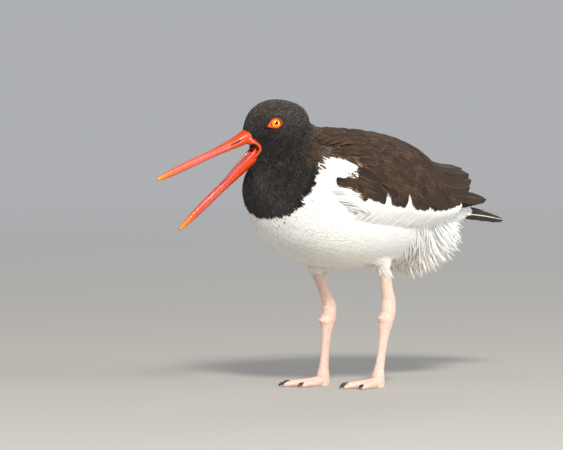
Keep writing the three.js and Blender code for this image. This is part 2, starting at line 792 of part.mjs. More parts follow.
// A toe: thick and fleshy, flat where it lies on the floor, directed by a turn from straight ahead.
function toeForm(foot, turn, length, pad = 0) {
  const ahead = vec(Math.sin(turn), -Math.cos(turn), 0);
  const start = vec(foot.x, foot.y, 4.4).addScaledVector(ahead, 2.5);
  const at = (share, z) => vec(start.x, start.y, z).addScaledVector(ahead, share * (length - 2.5));
  return limb({
    points: [at(0, 4.4), at(0.2, 3.2), at(0.5, 2.5), at(0.8, 2.2), at(1, 1.8)],
    half: through([0, 4], [0.25, 3.7], [0.42, 4.1], [0.62, 3.6], [0.8, 3.5], [1, 2.1]),
    deep: through([0, 4.4], [0.3, 3.7], [0.6, 3], [1, 2.1]),
    pad,
    around: 8,
    along: 8,
    turned: Math.PI / 8,
  });
}

function clawForm(foot, turn, length) {
  const ahead = vec(Math.sin(turn), -Math.cos(turn), 0);
  const at = (reach, z) => vec(foot.x, foot.y, z).addScaledVector(ahead, reach);
  return limb({
    points: [at(length - 1.6, 2.7), at(length + 2.4, 2.9), at(length + clawLength - 1.2, 1.1)],
    half: through([0, 1.7], [0.5, 1.4], [1, 0.5]),
    deep: through([0, 1.8], [0.5, 1.3], [1, 0.45]),
    around: 6,
    along: 5,
  });
}

// Assembly: each piece is cut clear of the ones it meets.
const torsoClear = torsoForm(gap, 24, 17);
const neckStalk = neckForm(18, 11);
const fleshHead = headForm(0, 20, 15);
const trunk = torsoForm(0, 24, 17).add(neckStalk).add(fleshHead);

// Thin plane cuts part the whole flesh into torso, neck and head.
function slab(centre, normal, size = 900) {
  const box = new THREE.BoxGeometry(size, size, size).translate(0, 0, size / 2);
  const turn = new THREE.Quaternion().setFromUnitVectors(vec(0, 0, 1), normal.clone().normalize());
  return solid(box.applyQuaternion(turn).translate(centre.x, centre.y, centre.z));
}
const collarAt = vec(0, -64, 184);
const collarFacing = vec(0, -0.74, 0.67); // from the torso to the neck: up the nape, down the breast
const napeAt = inHead(-5, 0, -19);
const napeFacing = inHead(0.34, 0, 1).sub(headCentre);
const aboveCollar = slab(collarAt, collarFacing);
const aboveCollarClear = slab(collarAt.clone().addScaledVector(collarFacing.clone().normalize(), -gap), collarFacing);
const aboveNape = slab(napeAt, napeFacing);
const aboveNapeClear = slab(napeAt.clone().addScaledVector(napeFacing.clone().normalize(), -gap), napeFacing);

const eyeHoles = joined([-1, 1].map((side) => ballAt(eyeCentre(side), eyeRadius + gap)));
const bandSolids = [-1, 1].map((side) => gapeBand(side));
const bandsClear = [-1, 1].map((side) => gapeBand(side, gap));
const lidSolids = [-1, 1].map((side) => lidRing(side).subtract(ballAt(eyeCentre(side), eyeRadius + gap)));
const upperClear = upperBar(gap);
const lowerClear = lowerBar(gap);
const head = trunk
  .intersect(aboveNape)
  .subtract(joined([upperClear, lowerClear, mouthPocket(0), mouthWedge(), eyeHoles]))
  .subtract(joined(bandsClear))
  .subtract(joined([-1, 1].map((side) => lidRing(side, gap))));
addNode("head", head, paint.black);
const neck = trunk.intersect(aboveCollar).subtract(aboveNapeClear).subtract(lowerClear).subtract(mouthWedge());
addNode("neck", neck, paint.black);

const lowerSolid = lowerBar(0).subtract(trough(0));
const mouthLining = mouthPocket(-gap)
  .subtract(slab(inHead(21, 0, -12), inHead(1, 0, -0.25).sub(headCentre)))
  .subtract(upperClear)
  .subtract(lowerClear);
addNode("mouth_lining", mouthLining.subtract(joined(bandsClear)), paint.maroon);
addNode("bill_upper", upperBar(0).subtract(joined([-1, 1].map(nostril))), paint.orange);
addNode("bill_lower", lowerSolid.subtract(tongueForm(gap)).subtract(upperClear), paint.orange);
addNode("tongue", tongueForm(0).subtract(mouthLining.translate(forward.clone().multiplyScalar(gap).toArray())).subtract(upperClear), paint.tongue);
["right", "left"].forEach((name, k) => {
  const side = k ? 1 : -1;
  addNode(`gape_${name}`, bandSolids[k].subtract(upperClear).subtract(lowerClear), paint.orange);
  addNode(`eye_${name}`, ballAt(eyeCentre(side), eyeRadius), paint.yellow);
  addNode(`eyelid_${name}`, lidSolids[k], paint.orange);
});

// Legs, and the feathered thighs they leave the belly by.
const thighForm = (leg, pad) =>
  limb({
    points: [leg.hip, leg.hip.clone().lerp(leg.fluff, 0.5), leg.fluff],
    half: through([0, 14], [0.6, 9.5], [1, 6]),
    deep: through([0, 20], [0.6, 11], [1, 6.6]),
    pad,
    around: 10,
    along: 6,
  });
const shankForm = (leg, pad) =>
  limb({
    points: [leg.hip.clone().lerp(leg.fluff, 0.6), leg.fluff, leg.heel.clone().lerp(leg.fluff, 0.4), leg.heel, leg.heel.clone().lerp(leg.foot, 0.3), leg.heel.clone().lerp(leg.foot, 0.8), leg.foot, vec(leg.foot.x, leg.foot.y + 0.4, 0)],
    half: through([0, 4.6], [0.28, 4.6], [0.42, 5.6], [0.5, 5.2], [0.62, 3.5], [0.84, 3.4], [0.93, 5.4], [1, 5.2]),
    deep: through([0, 5.4], [0.28, 5.4], [0.42, 7.4], [0.5, 6.8], [0.62, 4.5], [0.84, 4.4], [0.93, 5.6], [1, 5.4]),
    pad,
    around: 10,
    along: 18,
  });

for (const leg of legs) {
  const thigh = thighForm(leg, 0);
  const shank = shankForm(leg, 0);
  const shankClear = shankForm(leg, gap);
  const heelPlane = slab(leg.heel.clone().add(vec(0, 0, 9)), vec(0, 0, 1));
  const heelPlaneClear = slab(leg.heel.clone().add(vec(0, 0, 9 - gap)), vec(0, 0, 1));
  const fluffEnd = slab(leg.fluff.clone().add(vec(0, 0, 1)), vec(0, 0, -1));
  addNode(`thigh_${leg.side}`, thigh.subtract(torsoClear).subtract(shankClear), paint.white);
  addNode(`tibia_${leg.side}`, shank.intersect(heelPlane).subtract(torsoClear), paint.pink);
  addNode(`tarsus_${leg.side}`, shank.subtract(heelPlaneClear).subtract(fluffEnd.intersect(heelPlane)), paint.pink);
  const outward = leg.side === "left" ? 1 : -1;
  const toes = [
    { name: "middle", turn: 0, length: middleToe },
    { name: "outer", turn: outward * rad(27), length: outerToe },
    { name: "inner", turn: -outward * rad(28), length: innerToe },
  ];
  let taken = shankClear;
  for (const toe of toes) {
    const turn = leg.toeTurn + toe.turn;
    addNode(`toe_${toe.name}_${leg.side}`, toeForm(leg.foot, turn, toe.length).subtract(taken), paint.pink);
    addNode(
      `claw_${toe.name}_${leg.side}`,
      clawForm(leg.foot, turn, toe.length).subtract(toeForm(leg.foot, turn, toe.length, gap)),
      paint.claw,
    );
    taken = taken.add(toeForm(leg.foot, turn, toe.length, gap));
  }
}

// Torso with its loose vent feathers, then the tail, the back and the wings over it.
const legsClear = joined(legs.flatMap((leg) => [shankForm(leg, gap), thighForm(leg, gap)]));
const tailClear = tailRoot(gap);
const torso = trunk
  .subtract(aboveCollarClear)
  .add(joined(ventFeathers()))
  .subtract(tailClear)
  .subtract(legsClear.subtract(torsoForm(0.05, 24, 17)));
addNode("torso", torso, paint.white);

addNode("tail", tailRoot(0).add(joined(tailFeathers())), paint.brown);
const bodyClear = torsoClear.add(neckForm(18, 11).translate([0, 0.2, 0.3])).add(tailClear);
addNode("mantle", backOf(0).subtract(bodyClear), paint.brown);
const backClear = backOf(gap);
for (const side of [-1, 1]) {
  const half = slab(vec(side * gap, 0, 0), vec(side, 0, 0));
  const wing = wingOf(side).intersect(half).subtract(bodyClear).subtract(backClear);
  addNode(side > 0 ? "wing_left" : "wing_right", wing, paint.brown);
}

// The frame's origin is the middle of the part's box, at the floor.
const box = new THREE.Box3().setFromObject(bird);
const middle = box.getCenter(vec(0, 0, 0)).multiplyScalar(100).round().divideScalar(100);
bird.position.set(-middle.x, -middle.y, 0);

export default bird;
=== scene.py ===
import bpy
import numpy as np
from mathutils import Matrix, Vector
from mathutils.bvhtree import BVHTree


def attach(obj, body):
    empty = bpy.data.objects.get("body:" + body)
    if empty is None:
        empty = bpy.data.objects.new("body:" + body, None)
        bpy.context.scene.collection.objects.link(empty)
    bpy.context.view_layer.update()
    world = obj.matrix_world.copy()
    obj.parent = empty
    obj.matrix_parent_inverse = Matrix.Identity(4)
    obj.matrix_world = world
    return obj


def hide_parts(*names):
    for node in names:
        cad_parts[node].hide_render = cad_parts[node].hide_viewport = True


# An American oystercatcher, calling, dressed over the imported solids.
# Shapes are worked out in millimetres about a point on the floor under the back, then set in the frame.
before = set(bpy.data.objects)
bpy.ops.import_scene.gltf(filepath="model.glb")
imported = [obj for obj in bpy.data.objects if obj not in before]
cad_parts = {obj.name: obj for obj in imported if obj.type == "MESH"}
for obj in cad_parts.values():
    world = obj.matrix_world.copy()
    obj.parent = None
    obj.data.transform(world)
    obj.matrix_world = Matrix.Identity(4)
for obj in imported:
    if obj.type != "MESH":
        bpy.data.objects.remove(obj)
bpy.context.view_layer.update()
toFrame = np.array([-0.07, 3.85, 0.0])  # mm, from the bird's own origin to the frame's
metre = 1000.0  # in millimetres
millimetre = 0.001  # in metres
draw = np.random.default_rng(7)
bothSides = ((1, "left"), (-1, "right"))
print("stage: frame loaded,", len(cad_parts), "nodes")


# Small helpers on whole arrays

def vec(*values):
    return np.array(values, float)


def unit(v):
    return v / np.maximum(np.linalg.norm(v, axis=-1, keepdims=True), 1e-9)


def dot(a, b):
    return (a * b).sum(-1)


def mix(a, b, t):
    return a + (b - a) * t


# Rises from 0 at the first bound to 1 at the second, level at both; bounds given high to low make it fall.
def smooth(low, high, x):
    t = np.clip((x - low) / (high - low), 0, 1)
    return t * t * (3 - 2 * t)


# A bell of height one: e to the minus square of the distance from its middle over its width.
def bell(x, middle, width):
    return np.exp(-(((x - middle) / width) ** 2))


# A power that keeps the sign: on a sine or cosine it makes a circle fuller or more pointed.
def bent(value, power):
    return np.sign(value) * np.abs(value) ** power


# The height of a half circle over shares from -1 to 1; a higher power gives a squarer arch.
def dome(share, power=2):
    return np.sqrt(np.maximum(0, 1 - share**power))


# Sines and cosines of even steps round a full turn, as rows.
def turnOf(count):
    a = np.linspace(0, 2 * np.pi, count, endpoint=False)[None]
    return np.sin(a), np.cos(a)


def spanOf(low, high):
    return (low + high) / 2, (high - low) / 2  # its middle and half its length


# A cubic through the knots, where each inner slope is the mean of the two chords beside it.
def through(*knots):
    spot, value = np.array(knots, float).T
    chord = np.diff(value) / np.diff(spot)
    slope = np.concatenate([chord[:1], (chord[:-1] + chord[1:]) / 2, chord[-1:]])

    def curve(x):
        x = np.clip(x, spot[0], spot[-1])
        i = np.clip(np.searchsorted(spot, x) - 1, 0, len(spot) - 2)
        step = spot[i + 1] - spot[i]
        t = (x - spot[i]) / step
        rise = value[i] * (2 * t**3 - 3 * t**2 + 1) + value[i + 1] * (3 * t**2 - 2 * t**3)
        return rise + step * (slope[i] * (t**3 - 2 * t**2 + t) + slope[i + 1] * (t**3 - t**2))

    return curve


# A smooth line through points: each coordinate is a cubic of the share of the chords' length.
def lineThrough(*points):
    points = np.array(points, float)
    reach = np.concatenate([[0], np.cumsum(np.linalg.norm(np.diff(points, axis=0), axis=1))])
    parts = [through(*zip(reach / reach[-1], points[:, k])) for k in range(3)]
    return lambda t: np.stack([part(np.asarray(t, float)) for part in parts], -1)


# Waves of four directions and sizes summed: a soft uneven value about 0, for edges and tones.
def waver(p, size):
    q = p / size
    a = np.sin(q @ vec(1.0, 2.1, -1.3) + 1.7) + np.sin(q @ vec(-2.3, 1.1, 1.9) + 0.4)
    return (a + np.sin(q @ vec(1.7, -1.9, 2.7) + 2.9) + 0.6 * np.sin(q @ vec(4.1, 3.3, -2.9))) / 3.6


# Mesh making

def fill(items, key, values, kind=np.float32):
    items.foreach_set(key, values.astype(kind).ravel())


def read(items, key, width, kind=np.float32):
    values = np.empty(len(items) * width, kind)
    items.foreach_get(key, values)
    return values.reshape(-1, width)


def pointsOf(mesh):
    return read(mesh.vertices, "co", 3).astype(float) * metre - toFrame


def setPoints(mesh, points):
    fill(mesh.vertices, "co", (points + toFrame) * millimetre)


def setTint(mesh, colour):
    tint = mesh.attributes.new("tint", "FLOAT_COLOR", "POINT")
    fill(tint.data, "color", np.c_[colour, np.ones(len(colour))])


# The mesh's arrays go in whole: faces is a list of arrays, each of faces with equal sides,
# and the maps, grain for the material's pattern and bake for the coat, have a row for each corner.
def addPiece(name, points, faces, grain=None, bake=None, colour=None, material=None, crisp=False):
    mesh = bpy.data.meshes.new(name)
    mesh.vertices.add(len(points))
    setPoints(mesh, points)
    corners = np.concatenate([f.ravel() for f in faces])
    sides = np.concatenate([np.full(len(f), f.shape[1]) for f in faces])
    mesh.loops.add(len(corners))
    fill(mesh.loops, "vertex_index", corners, np.int32)
    mesh.polygons.add(len(sides))
    fill(mesh.polygons, "loop_start", np.cumsum(sides) - sides, np.int32)
    mesh.update(calc_edges=True)
    for label, rows in (("grain", grain), ("OFBake", bake)):
        if rows is not None:
            fill(mesh.uv_layers.new(name=label).uv, "vector", rows)
    if colour is not None:
        setTint(mesh, colour)
    mesh.shade_smooth()
    if crisp:
        mesh.set_sharp_from_angle(angle=0.9)
    if material:
        mesh.materials.append(material)
    piece = bpy.data.objects.new(name, mesh)
    bpy.context.scene.collection.objects.link(piece)
    return piece


# The squares between rings of points, and their map: 0 to 1 round each ring, and 0 to 1 over the rings.
def squares(rows, around):
    i, j = np.meshgrid(np.arange(rows - 1), np.arange(around), indexing="ij")
    k = (j + 1) % around
    quads = np.stack([i * around + j, i * around + k, (i + 1) * around + k, (i + 1) * around + j], -1)
    across = np.stack([j, j + 1, j + 1, j], -1) / around
    along = np.stack([i, i, i + 1, i + 1], -1) / (rows - 1)
    return quads.reshape(-1, 4), np.stack([across, along], -1).reshape(-1, 4, 2)


# Rings joined in order to one closed surface, each end closed to a point at its ring's middle.
def tube(rings):
    rows, around = rings.shape[:2]
    quads, quadMap = squares(rows, around)
    points = np.concatenate([rings.reshape(-1, 3), rings[:1].mean(1), rings[-1:].mean(1)])
    j = np.arange(around)
    k = (j + 1) % around
    last = (rows - 1) * around
    apex = np.full(around, rows * around)
    tris = np.concatenate([np.stack([k, j, apex], -1), np.stack([last + j, last + k, apex + 1], -1)])
    fan = np.stack([j, j + 1, j + 0.5], -1) / around
    triMap = np.concatenate([np.stack([fan[:, [1, 0, 2]], 0 * fan], -1), np.stack([fan, 0 * fan + 1], -1)])
    fans = np.concatenate([quads[:, [0, 1, 2]], quads[:, [0, 2, 3]], tris])
    a, b, c = (points[fans[:, n]] - points[0] for n in range(3))
    if dot(a, np.cross(b, c)).sum() < 0:
        quads, tris, quadMap, triMap = (array[:, ::-1] for array in (quads, tris, quadMap, triMap))
    return points, [quads, tris], np.concatenate([quadMap.reshape(-1, 2), triMap.reshape(-1, 2)])


# Parts of points, faces and further rows, one after another: faces count on from the points before them.
def joined(parts):
    points, faces, *others = zip(*parts)
    starts = np.cumsum([0] + [len(p) for p in points])
    faces = [np.concatenate([f + start for f, start in zip(kind, starts)]) for kind in zip(*faces)]
    return np.concatenate(points), faces, *(np.concatenate(rows) for rows in others)


def place(piece, nodeNames, slotName):
    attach(piece, "root")
    if nodeNames:
        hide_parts(*nodeNames)


def addTube(name, rings, material, nodeNames, slotName):
    points, faces, grain = tube(rings)
    place(addPiece(name, points, faces, grain=grain, material=material), nodeNames, slotName)


# The body's guiding forms, the same as the solids'

fullness = 2 / 2.15
torso = {
    "front": -104, "rear": 118,
    "axis": through((-104, 170), (-60, 165), (0, 160), (60, 157), (118, 152)),
    "rise": through((-104, 60), (-60, 58), (-20, 56), (36, 53), (66, 49), (91, 40), (118, 33)),
    "sag": through((-104, 80), (-80, 71), (-50, 66), (-20, 61.5), (20, 58.5), (60, 58), (118, 52)),
    "half": through((-104, 76), (-80, 69), (-50, 61), (-20, 57), (20, 55), (60, 51), (118, 44)),
}
mantle = {
    "half": through((-80, 47), (-40, 59), (0, 61.5), (40, 58), (70, 51), (95, 41), (120, 30), (145, 20),
                    (168, 12)),
    "top": through((-80, 214), (-40, 221.5), (0, 220), (28, 216.5), (46, 212.5), (58, 208.5), (67, 204),
                   (75, 198.5), (84, 193.5), (95, 189.5), (107, 187), (125, 185), (145, 180), (168, 169)),
    "axis": through((-80, 166), (0, 161), (60, 157), (120, 155), (168, 154)),
    "sag": 44,
    "bottom": through((-56, 84), (-40, 92), (0, 99), (50, 101), (90, 96), (118, 88)),  # degrees from the top
}


def wingTop(y):
    return mix(41, 15, smooth(25, 108, y))  # degrees from the top to the scapulars' edge


# A rounded ring: sine and cosine to a power a little under one, stretched to its half width, rise and sag.
def ringPoint(angle, half, rise, sag):
    s, c = np.sin(angle), np.cos(angle)
    return bent(s, fullness) * half, bent(c, fullness) * np.where(c > 0, rise, sag)


# Rings along Y that shrink as a half circle's height towards both ends.
def torsoPoint(y, angle, pad=0.0):
    middle, reach = spanOf(torso["front"], torso["rear"])
    swell = dome(np.clip((y - middle) / (reach + pad), -1, 1))
    x, z = ringPoint(angle, *(torso[k](y) * swell + pad for k in ("half", "rise", "sag")))
    return np.stack([x, y + 0 * x, torso["axis"](y) + z], -1)


# The folded wings and back: rounded rings of the mantle's half width and top, padded by a lift.
def mantlePoint(y, angle, lift=0.0):
    rise = mantle["top"](y) - mantle["axis"](y) + lift
    x, z = ringPoint(angle, mantle["half"](y) + lift, rise, mantle["sag"] + lift)
    return np.stack([x, y + 0 * x, mantle["axis"](y) + z], -1)


# The mantle's outward way: the cross product of short steps around it and along it.
def mantleNormal(y, angle):
    along = mantlePoint(y + 2, angle) - mantlePoint(y - 2, angle)
    around = mantlePoint(y, angle + 0.05) - mantlePoint(y, angle - 0.05)
    return unit(np.cross(around, along))


headYaw = np.radians(23)
headPitch = np.radians(10)
headCentre = vec(-3, -80, 222)
forward = vec(-np.sin(headYaw) * np.cos(headPitch), -np.cos(headYaw) * np.cos(headPitch), -np.sin(headPitch))
left = vec(np.cos(headYaw), -np.sin(headYaw), 0)
upward = np.cross(forward, left)


def inHead(f, l, u):
    f, l, u = (np.asarray(v, float)[..., None] for v in (f, l, u))
    return headCentre + forward * f + left * l + upward * u


def toHead(p):
    q = p - headCentre
    return q @ forward, q @ left, q @ upward


skull = {
    "back": -30, "front": 33,
    "top": through((-30, 26), (-16, 24.5), (0, 26.5), (14, 30), (24, 33), (33, 30)),
    "bottom": through((-30, 30), (-10, 30), (10, 33), (24, 44), (33, 52)),
    "half": through((-30, 24), (-12, 21.5), (4, 20.5), (12, 17.5), (20, 12.5), (27, 11.5), (33, 11)),
    "axis": through((-30, 2), (0, -1), (20, -6), (33, -9)),
}


# Rings along the head's own axis, drawn in as a half circle towards both ends.
def skullPoint(f, angle, pad=0.0):
    middle, reach = spanOf(skull["back"], skull["front"])
    swell = dome((f - middle) / (reach + pad))
    l, u = ringPoint(angle, *(skull[k](f) * swell + pad for k in ("half", "top", "bottom")))
    return inHead(f, l, skull["axis"](f) + u)


neck = {
    "line": lineThrough((0, -34, 150), (0, -58, 178), (0.5, -70, 200), (-1, -80, 221), (-5, -84, 234)),
    "side": through((0, 44), (0.35, 44), (0.55, 36), (0.7, 25.5), (0.85, 18.5), (1, 15)),
    "fore": through((0, 52), (0.35, 47), (0.5, 40), (0.6, 31), (0.7, 20), (0.85, 15), (1, 12)),
    "back": through((0, 46), (0.35, 44), (0.6, 42), (0.8, 33), (1, 22)),
}


# Rings square to a bent line, each with its own reach to the side, front and back, drawn in at both ends.
def neckPoint(share, angle, pad=0.0):
    ahead = unit(neck["line"](share + 0.01) - neck["line"](share - 0.01))
    side = vec(1, 0, 0)
    fore = unit(np.cross(side, ahead))
    swell = dome(2 * share - 1, 4)
    x, z = ringPoint(angle, *(neck[k](share) * swell + pad for k in ("side", "fore", "back")))
    return neck["line"](share) + side * x[..., None] + fore * z[..., None]


# Markings: where the hood, the white front and the brown back meet, as heights and lengths in the side view

marks = {
    # y of the hood's rear edge by height, height of the white patch's top by y,
    # and y of the wing's front by height
    "hood": through((138, -106), (143.7, -98.5), (149.6, -94.5), (155.5, -90), (166.6, -85.5), (179.4, -78),
                    (192, -70.5), (204.8, -63), (216, -52), (226, -48)),
    "patchTop": through((-75, 191), (-68, 193.5), (-63, 199), (-55, 201.5), (-47, 199.5), (-42, 194),
                        (-38, 189)),
    "wingFront": through((163, -36), (169, -44), (174, -50.5), (181, -56), (185, -52), (190, -41),
                         (194, -38)),
    "darkFleck": 0.84, "paleFleck": -0.74,  # how strong the waves have to be for a stray feather
    # The hood's second black is paler: painted sheen on the crown, with random mottling.
    "black": vec(0.0135, 0.012, 0.0112), "blackSheenAndMottle": vec(0.060, 0.051, 0.046),
    # The white's cream tint below is painted warm light bounced from the floor.
    "white": vec(0.93, 0.925, 0.905), "floorBounceCream": vec(0.985, 0.955, 0.90),
    "brown": vec(0.088, 0.053, 0.034), "brownDark": vec(0.036, 0.024, 0.018),
}


def pastHood(p):
    return p[:, 1] - marks["hood"](p[:, 2])


def fromTop(p, axis):
    return np.degrees(np.arctan2(np.abs(p[:, 0]), p[:, 2] - axis(p[:, 1])))


# 0 black, 1 white, 2 brown on the body's surface: borders given in the side view, made uneven by waves.
def markAt(p):
    x, y, z = p.T
    rough = 2.2 * waver(p, 5.0) + 1.6 * waver(p, 2.1)
    twist = 0.15 * smooth(185, 160, z) * (np.clip(x, -45, 45) - 36)
    past = pastHood(p) - twist
    fleck = waver(p + vec(11, 3, 5), 1.9)
    dark = (past > 2) & (past < 7) & (fleck > marks["darkFleck"]) & (z < 180)
    pale = (past < -0.5) & (past > -6) & (fleck < marks["paleFleck"]) & (z < 174)
    hood = ((past < rough * 0.8) & ~pale) | dark
    onBack = (z > marks["patchTop"](y) + rough * 0.8) & (y > -76) & (z > 186)
    underEdge = fromTop(p, mantle["axis"]) < mantle["bottom"](y) - 3 + rough
    onWing = (y > marks["wingFront"](z) + rough) & underEdge & (y < 112)
    return np.where(hood, 0, np.where(onBack | onWing, 2, 1))


# The base tone by mark: the hood turns from black to brown at its rear and is paler towards the crown as
# painted sheen, and the belly is tinted cream below as painted warm light bounced from the floor.
def toneAt(p, mark):
    z = p[:, 2]
    rear = smooth(-22, 6, pastHood(p)) * smooth(186, 204, z)
    # Painted sheen: the hood turns paler with height towards the crown, plus random mottling.
    crownSheenAndMottle = 0.75 * smooth(206, 238, z) + 0.25 * waver(p, 3.2)
    black = mix(marks["black"], marks["blackSheenAndMottle"], np.clip(crownSheenAndMottle, 0, 1)[:, None])
    black = mix(black, mix(marks["brownDark"], marks["brown"], 0.5), rear[:, None])
    # Painted bounce light: the white turns cream towards the bottom, as lit warm from the floor.
    white = marks["white"] * mix(1, marks["floorBounceCream"], smooth(150, 100, z)[:, None])
    brown = mix(marks["brownDark"], marks["brown"], (0.6 + 0.4 * waver(p, 9.0))[:, None])
    return np.where((mark == 0)[:, None], black, np.where((mark == 1)[:, None], white, brown))


# Materials

# A socket is linked; any other value is set on the node's own socket.
def feed(tree, target, value):
    if isinstance(value, bpy.types.NodeSocket):
        tree.links.new(value, target)
    elif target.type == "RGBA":
        target.default_value = (*value, 1.0)
    else:
        target.default_value = value


def addNode(tree, kind, inputs=(), **settings):
    node = tree.nodes.new(kind)
    for key, value in settings.items():
        setattr(node, key, value)
    for label, value in dict(inputs).items():
        feed(tree, node.inputs[label], value)
    return node


def mathNode(tree, operation, *values):
    return addNode(tree, "ShaderNodeMath", enumerate(values), operation=operation).outputs[0]


def times(tree, a, b):
    return mathNode(tree, "MULTIPLY", a, b)


def mixColour(tree, factor, a, b, blend="MIX"):
    node = addNode(tree, "ShaderNodeMix", {0: factor, 6: a, 7: b}, data_type="RGBA", blend_type=blend)
    return node.outputs[2]


def shaded(tree, colour, tone):
    return mixColour(tree, 1.0, colour, tone, "MULTIPLY")


def smoothNode(tree, value, low, high):
    inputs = {0: value, 1: low, 2: high}
    return addNode(tree, "ShaderNodeMapRange", inputs, interpolation_type="SMOOTHSTEP").outputs[0]


def noiseNode(tree, where, scale, detail=2.0, roughness=0.5):
    inputs = {"Vector": where, "Scale": scale, "Detail": detail, "Roughness": roughness}
    return addNode(tree, "ShaderNodeTexNoise", inputs).outputs[0]


def objectPlace(tree):
    return addNode(tree, "ShaderNodeTexCoord").outputs["Object"]


# The piece's own map, and its two numbers across and along.
def ownMap(tree):
    spot = addNode(tree, "ShaderNodeUVMap", uv_map="grain").outputs["UV"]
    parts = addNode(tree, "ShaderNodeSeparateXYZ", {0: spot})
    return spot, parts.outputs[0], parts.outputs[1]


def ownTint(tree):
    return addNode(tree, "ShaderNodeAttribute", attribute_name="tint").outputs["Color"]


def ramped(tree, factor, stops):
    ramp = addNode(tree, "ShaderNodeValToRGB", {0: factor})
    band = ramp.color_ramp.elements
    while len(band) < len(stops):
        band.new(0.5)
    for element, (spot, colour) in zip(band, stops):
        element.position = spot
        element.color = (*colour, 1)
    return ramp.outputs[0]


def newMaterial(name):
    material = bpy.data.materials.new(name)
    material.use_nodes = True
    return material, material.node_tree


# Colour and constants go to the shader's own sockets; bump is (height, strength, distance in metres).
def finished(material, colour, values, bump=None):
    tree = material.node_tree
    shader = tree.nodes["Principled BSDF"]
    for label, value in {"Base Color": colour, **values}.items():
        feed(tree, shader.inputs[label], value)
    if bump:
        node = addNode(tree, "ShaderNodeBump", zip(("Height", "Strength", "Distance"), bump))
        feed(tree, shader.inputs["Normal"], node.outputs["Normal"])
    return material


# Speckle: fine and broad noise on object coordinates turned to a tone about 1 and a height.
def makeSpeckle():
    group = bpy.data.node_groups.new("speckle", "ShaderNodeTree")
    for label, value in (("fineScale", 900.0), ("broadScale", 90.0), ("depth", 0.3)):
        group.interface.new_socket(label, in_out="INPUT", socket_type="NodeSocketFloat").default_value = value
    for label in ("tone", "height"):
        group.interface.new_socket(label, in_out="OUTPUT", socket_type="NodeSocketFloat")
    taken = group.nodes.new("NodeGroupInput").outputs
    where = objectPlace(group)
    fine, broad = (noiseNode(group, where, scale=taken[k], detail=3.0) for k in ("fineScale", "broadScale"))
    swing = mathNode(group, "SUBTRACT", mathNode(group, "ADD", fine, broad), 1.0)
    tone = mathNode(group, "ADD", times(group, swing, taken["depth"]), 1.0)
    addNode(group, "NodeGroupOutput", {"tone": tone, "height": fine})
    return group


speckle = makeSpeckle()


def useSpeckle(tree, fine, broad, depth):
    inputs = {"fineScale": fine, "broadScale": broad, "depth": depth}
    node = addNode(tree, "ShaderNodeGroup", inputs, node_tree=speckle)
    return node.outputs["tone"], node.outputs["height"]


# Plumage: the piece's own tint times speckle.
def plumageMaterial(name, roughness, sheen, depth, specular):
    material, tree = newMaterial(name)
    tone, height = useSpeckle(tree, 1400.0, 160.0, depth)
    values = {"Roughness": roughness, "Specular IOR Level": specular, "Sheen Weight": sheen,
              "Sheen Roughness": 0.45}
    return finished(material, shaded(tree, ownTint(tree), tone), values, (height, 0.25, 0.0003))


blackPlumage = plumageMaterial("blackPlumage", 0.6, 0.05, 0.6, 0.25)
whitePlumage = plumageMaterial("whitePlumage", 0.85, 0.1, 0.05, 0.15)
brownPlumage = plumageMaterial("brownPlumage", 0.6, 0.05, 0.6, 0.25)
plumage = ((blackPlumage, "plumage_black"), (whitePlumage, "plumage_white"), (brownPlumage, "plumage_brown"))

vaneLook = {"barbs": 260.0, "slant": 0.55, "barbDepth": 0.16, "fringe": 0.55, "shaft": 0.8, "tipRim": 0.965}


# A vane's shaft, fringe and barbs read from its own map: across 0 to 1, along 0 at the root to 1 at the tip.
def vaneMaterial(name, fringe, shaft, roughness, fringeWidth=0.16, shaftWidth=0.03):
    material, tree = newMaterial(name)
    _, side, along = ownMap(tree)
    across = mathNode(tree, "ABSOLUTE", mathNode(tree, "SUBTRACT", side, 0.5))
    rim = mathNode(tree, "MAXIMUM", times(tree, across, 2.0), times(tree, along, vaneLook["tipRim"]))
    atRim = times(tree, smoothNode(tree, rim, 1.0 - fringeWidth, 0.98), vaneLook["fringe"])
    atShaft = times(tree, mathNode(tree, "LESS_THAN", across, shaftWidth), vaneLook["shaft"])
    slanted = mathNode(tree, "SUBTRACT", along, times(tree, across, vaneLook["slant"]))
    wave = mathNode(tree, "SINE", times(tree, slanted, vaneLook["barbs"]))
    barbs = mathNode(tree, "ADD", times(tree, wave, vaneLook["barbDepth"]), 1.0)
    tone, height = useSpeckle(tree, 1100.0, 120.0, 0.7)
    body = shaded(tree, shaded(tree, ownTint(tree), tone), barbs)
    colour = mixColour(tree, atShaft, mixColour(tree, atRim, body, fringe), shaft)
    values = {"Roughness": roughness, "Specular IOR Level": 0.16}
    return finished(material, colour, values, (mathNode(tree, "ADD", wave, height), 0.5, 0.0002))


brownVane = vaneMaterial("brownVane", (0.25, 0.145, 0.08), (0.022, 0.014, 0.010), 0.74)
flightVane = vaneMaterial("flightVane", (0.20, 0.125, 0.08), (0.16, 0.11, 0.08), 0.6, 0.05)
whiteVane = vaneMaterial("whiteVane", (0.88, 0.87, 0.85), (0.72, 0.70, 0.66), 0.7)
tailVane = vaneMaterial("tailVane", (0.13, 0.08, 0.05), (0.85, 0.83, 0.78), 0.55, 0.05, 0.055)
print("stage: plumage materials made")


# The skin

coatDepth = {"torso": 1.7, "neck": 1.6, "skull": 0.9, "wing": 3.0, "under": 2.5, "tail": 0.5}

legs = {
    "left": {"hip": vec(27, 10, 126), "fluff": vec(23, 25, 97), "heel": vec(22.5, 30.5, 72.5),
             "foot": vec(20, 20, 8), "turn": np.radians(-10), "out": 1},
    "right": {"hip": vec(-27, -14, 122), "fluff": vec(-20, -10, 92), "heel": vec(-20, 1, 70),
              "foot": vec(-25, -1, 8), "turn": np.radians(-25), "out": -1},
}
thigh = {
    "half": through((0, 9), (0.5, 7.2), (0.85, 6.0), (1, 3.2)),
    "deep": through((0, 12), (0.5, 9.2), (0.85, 6.8), (1, 3.4)),
}


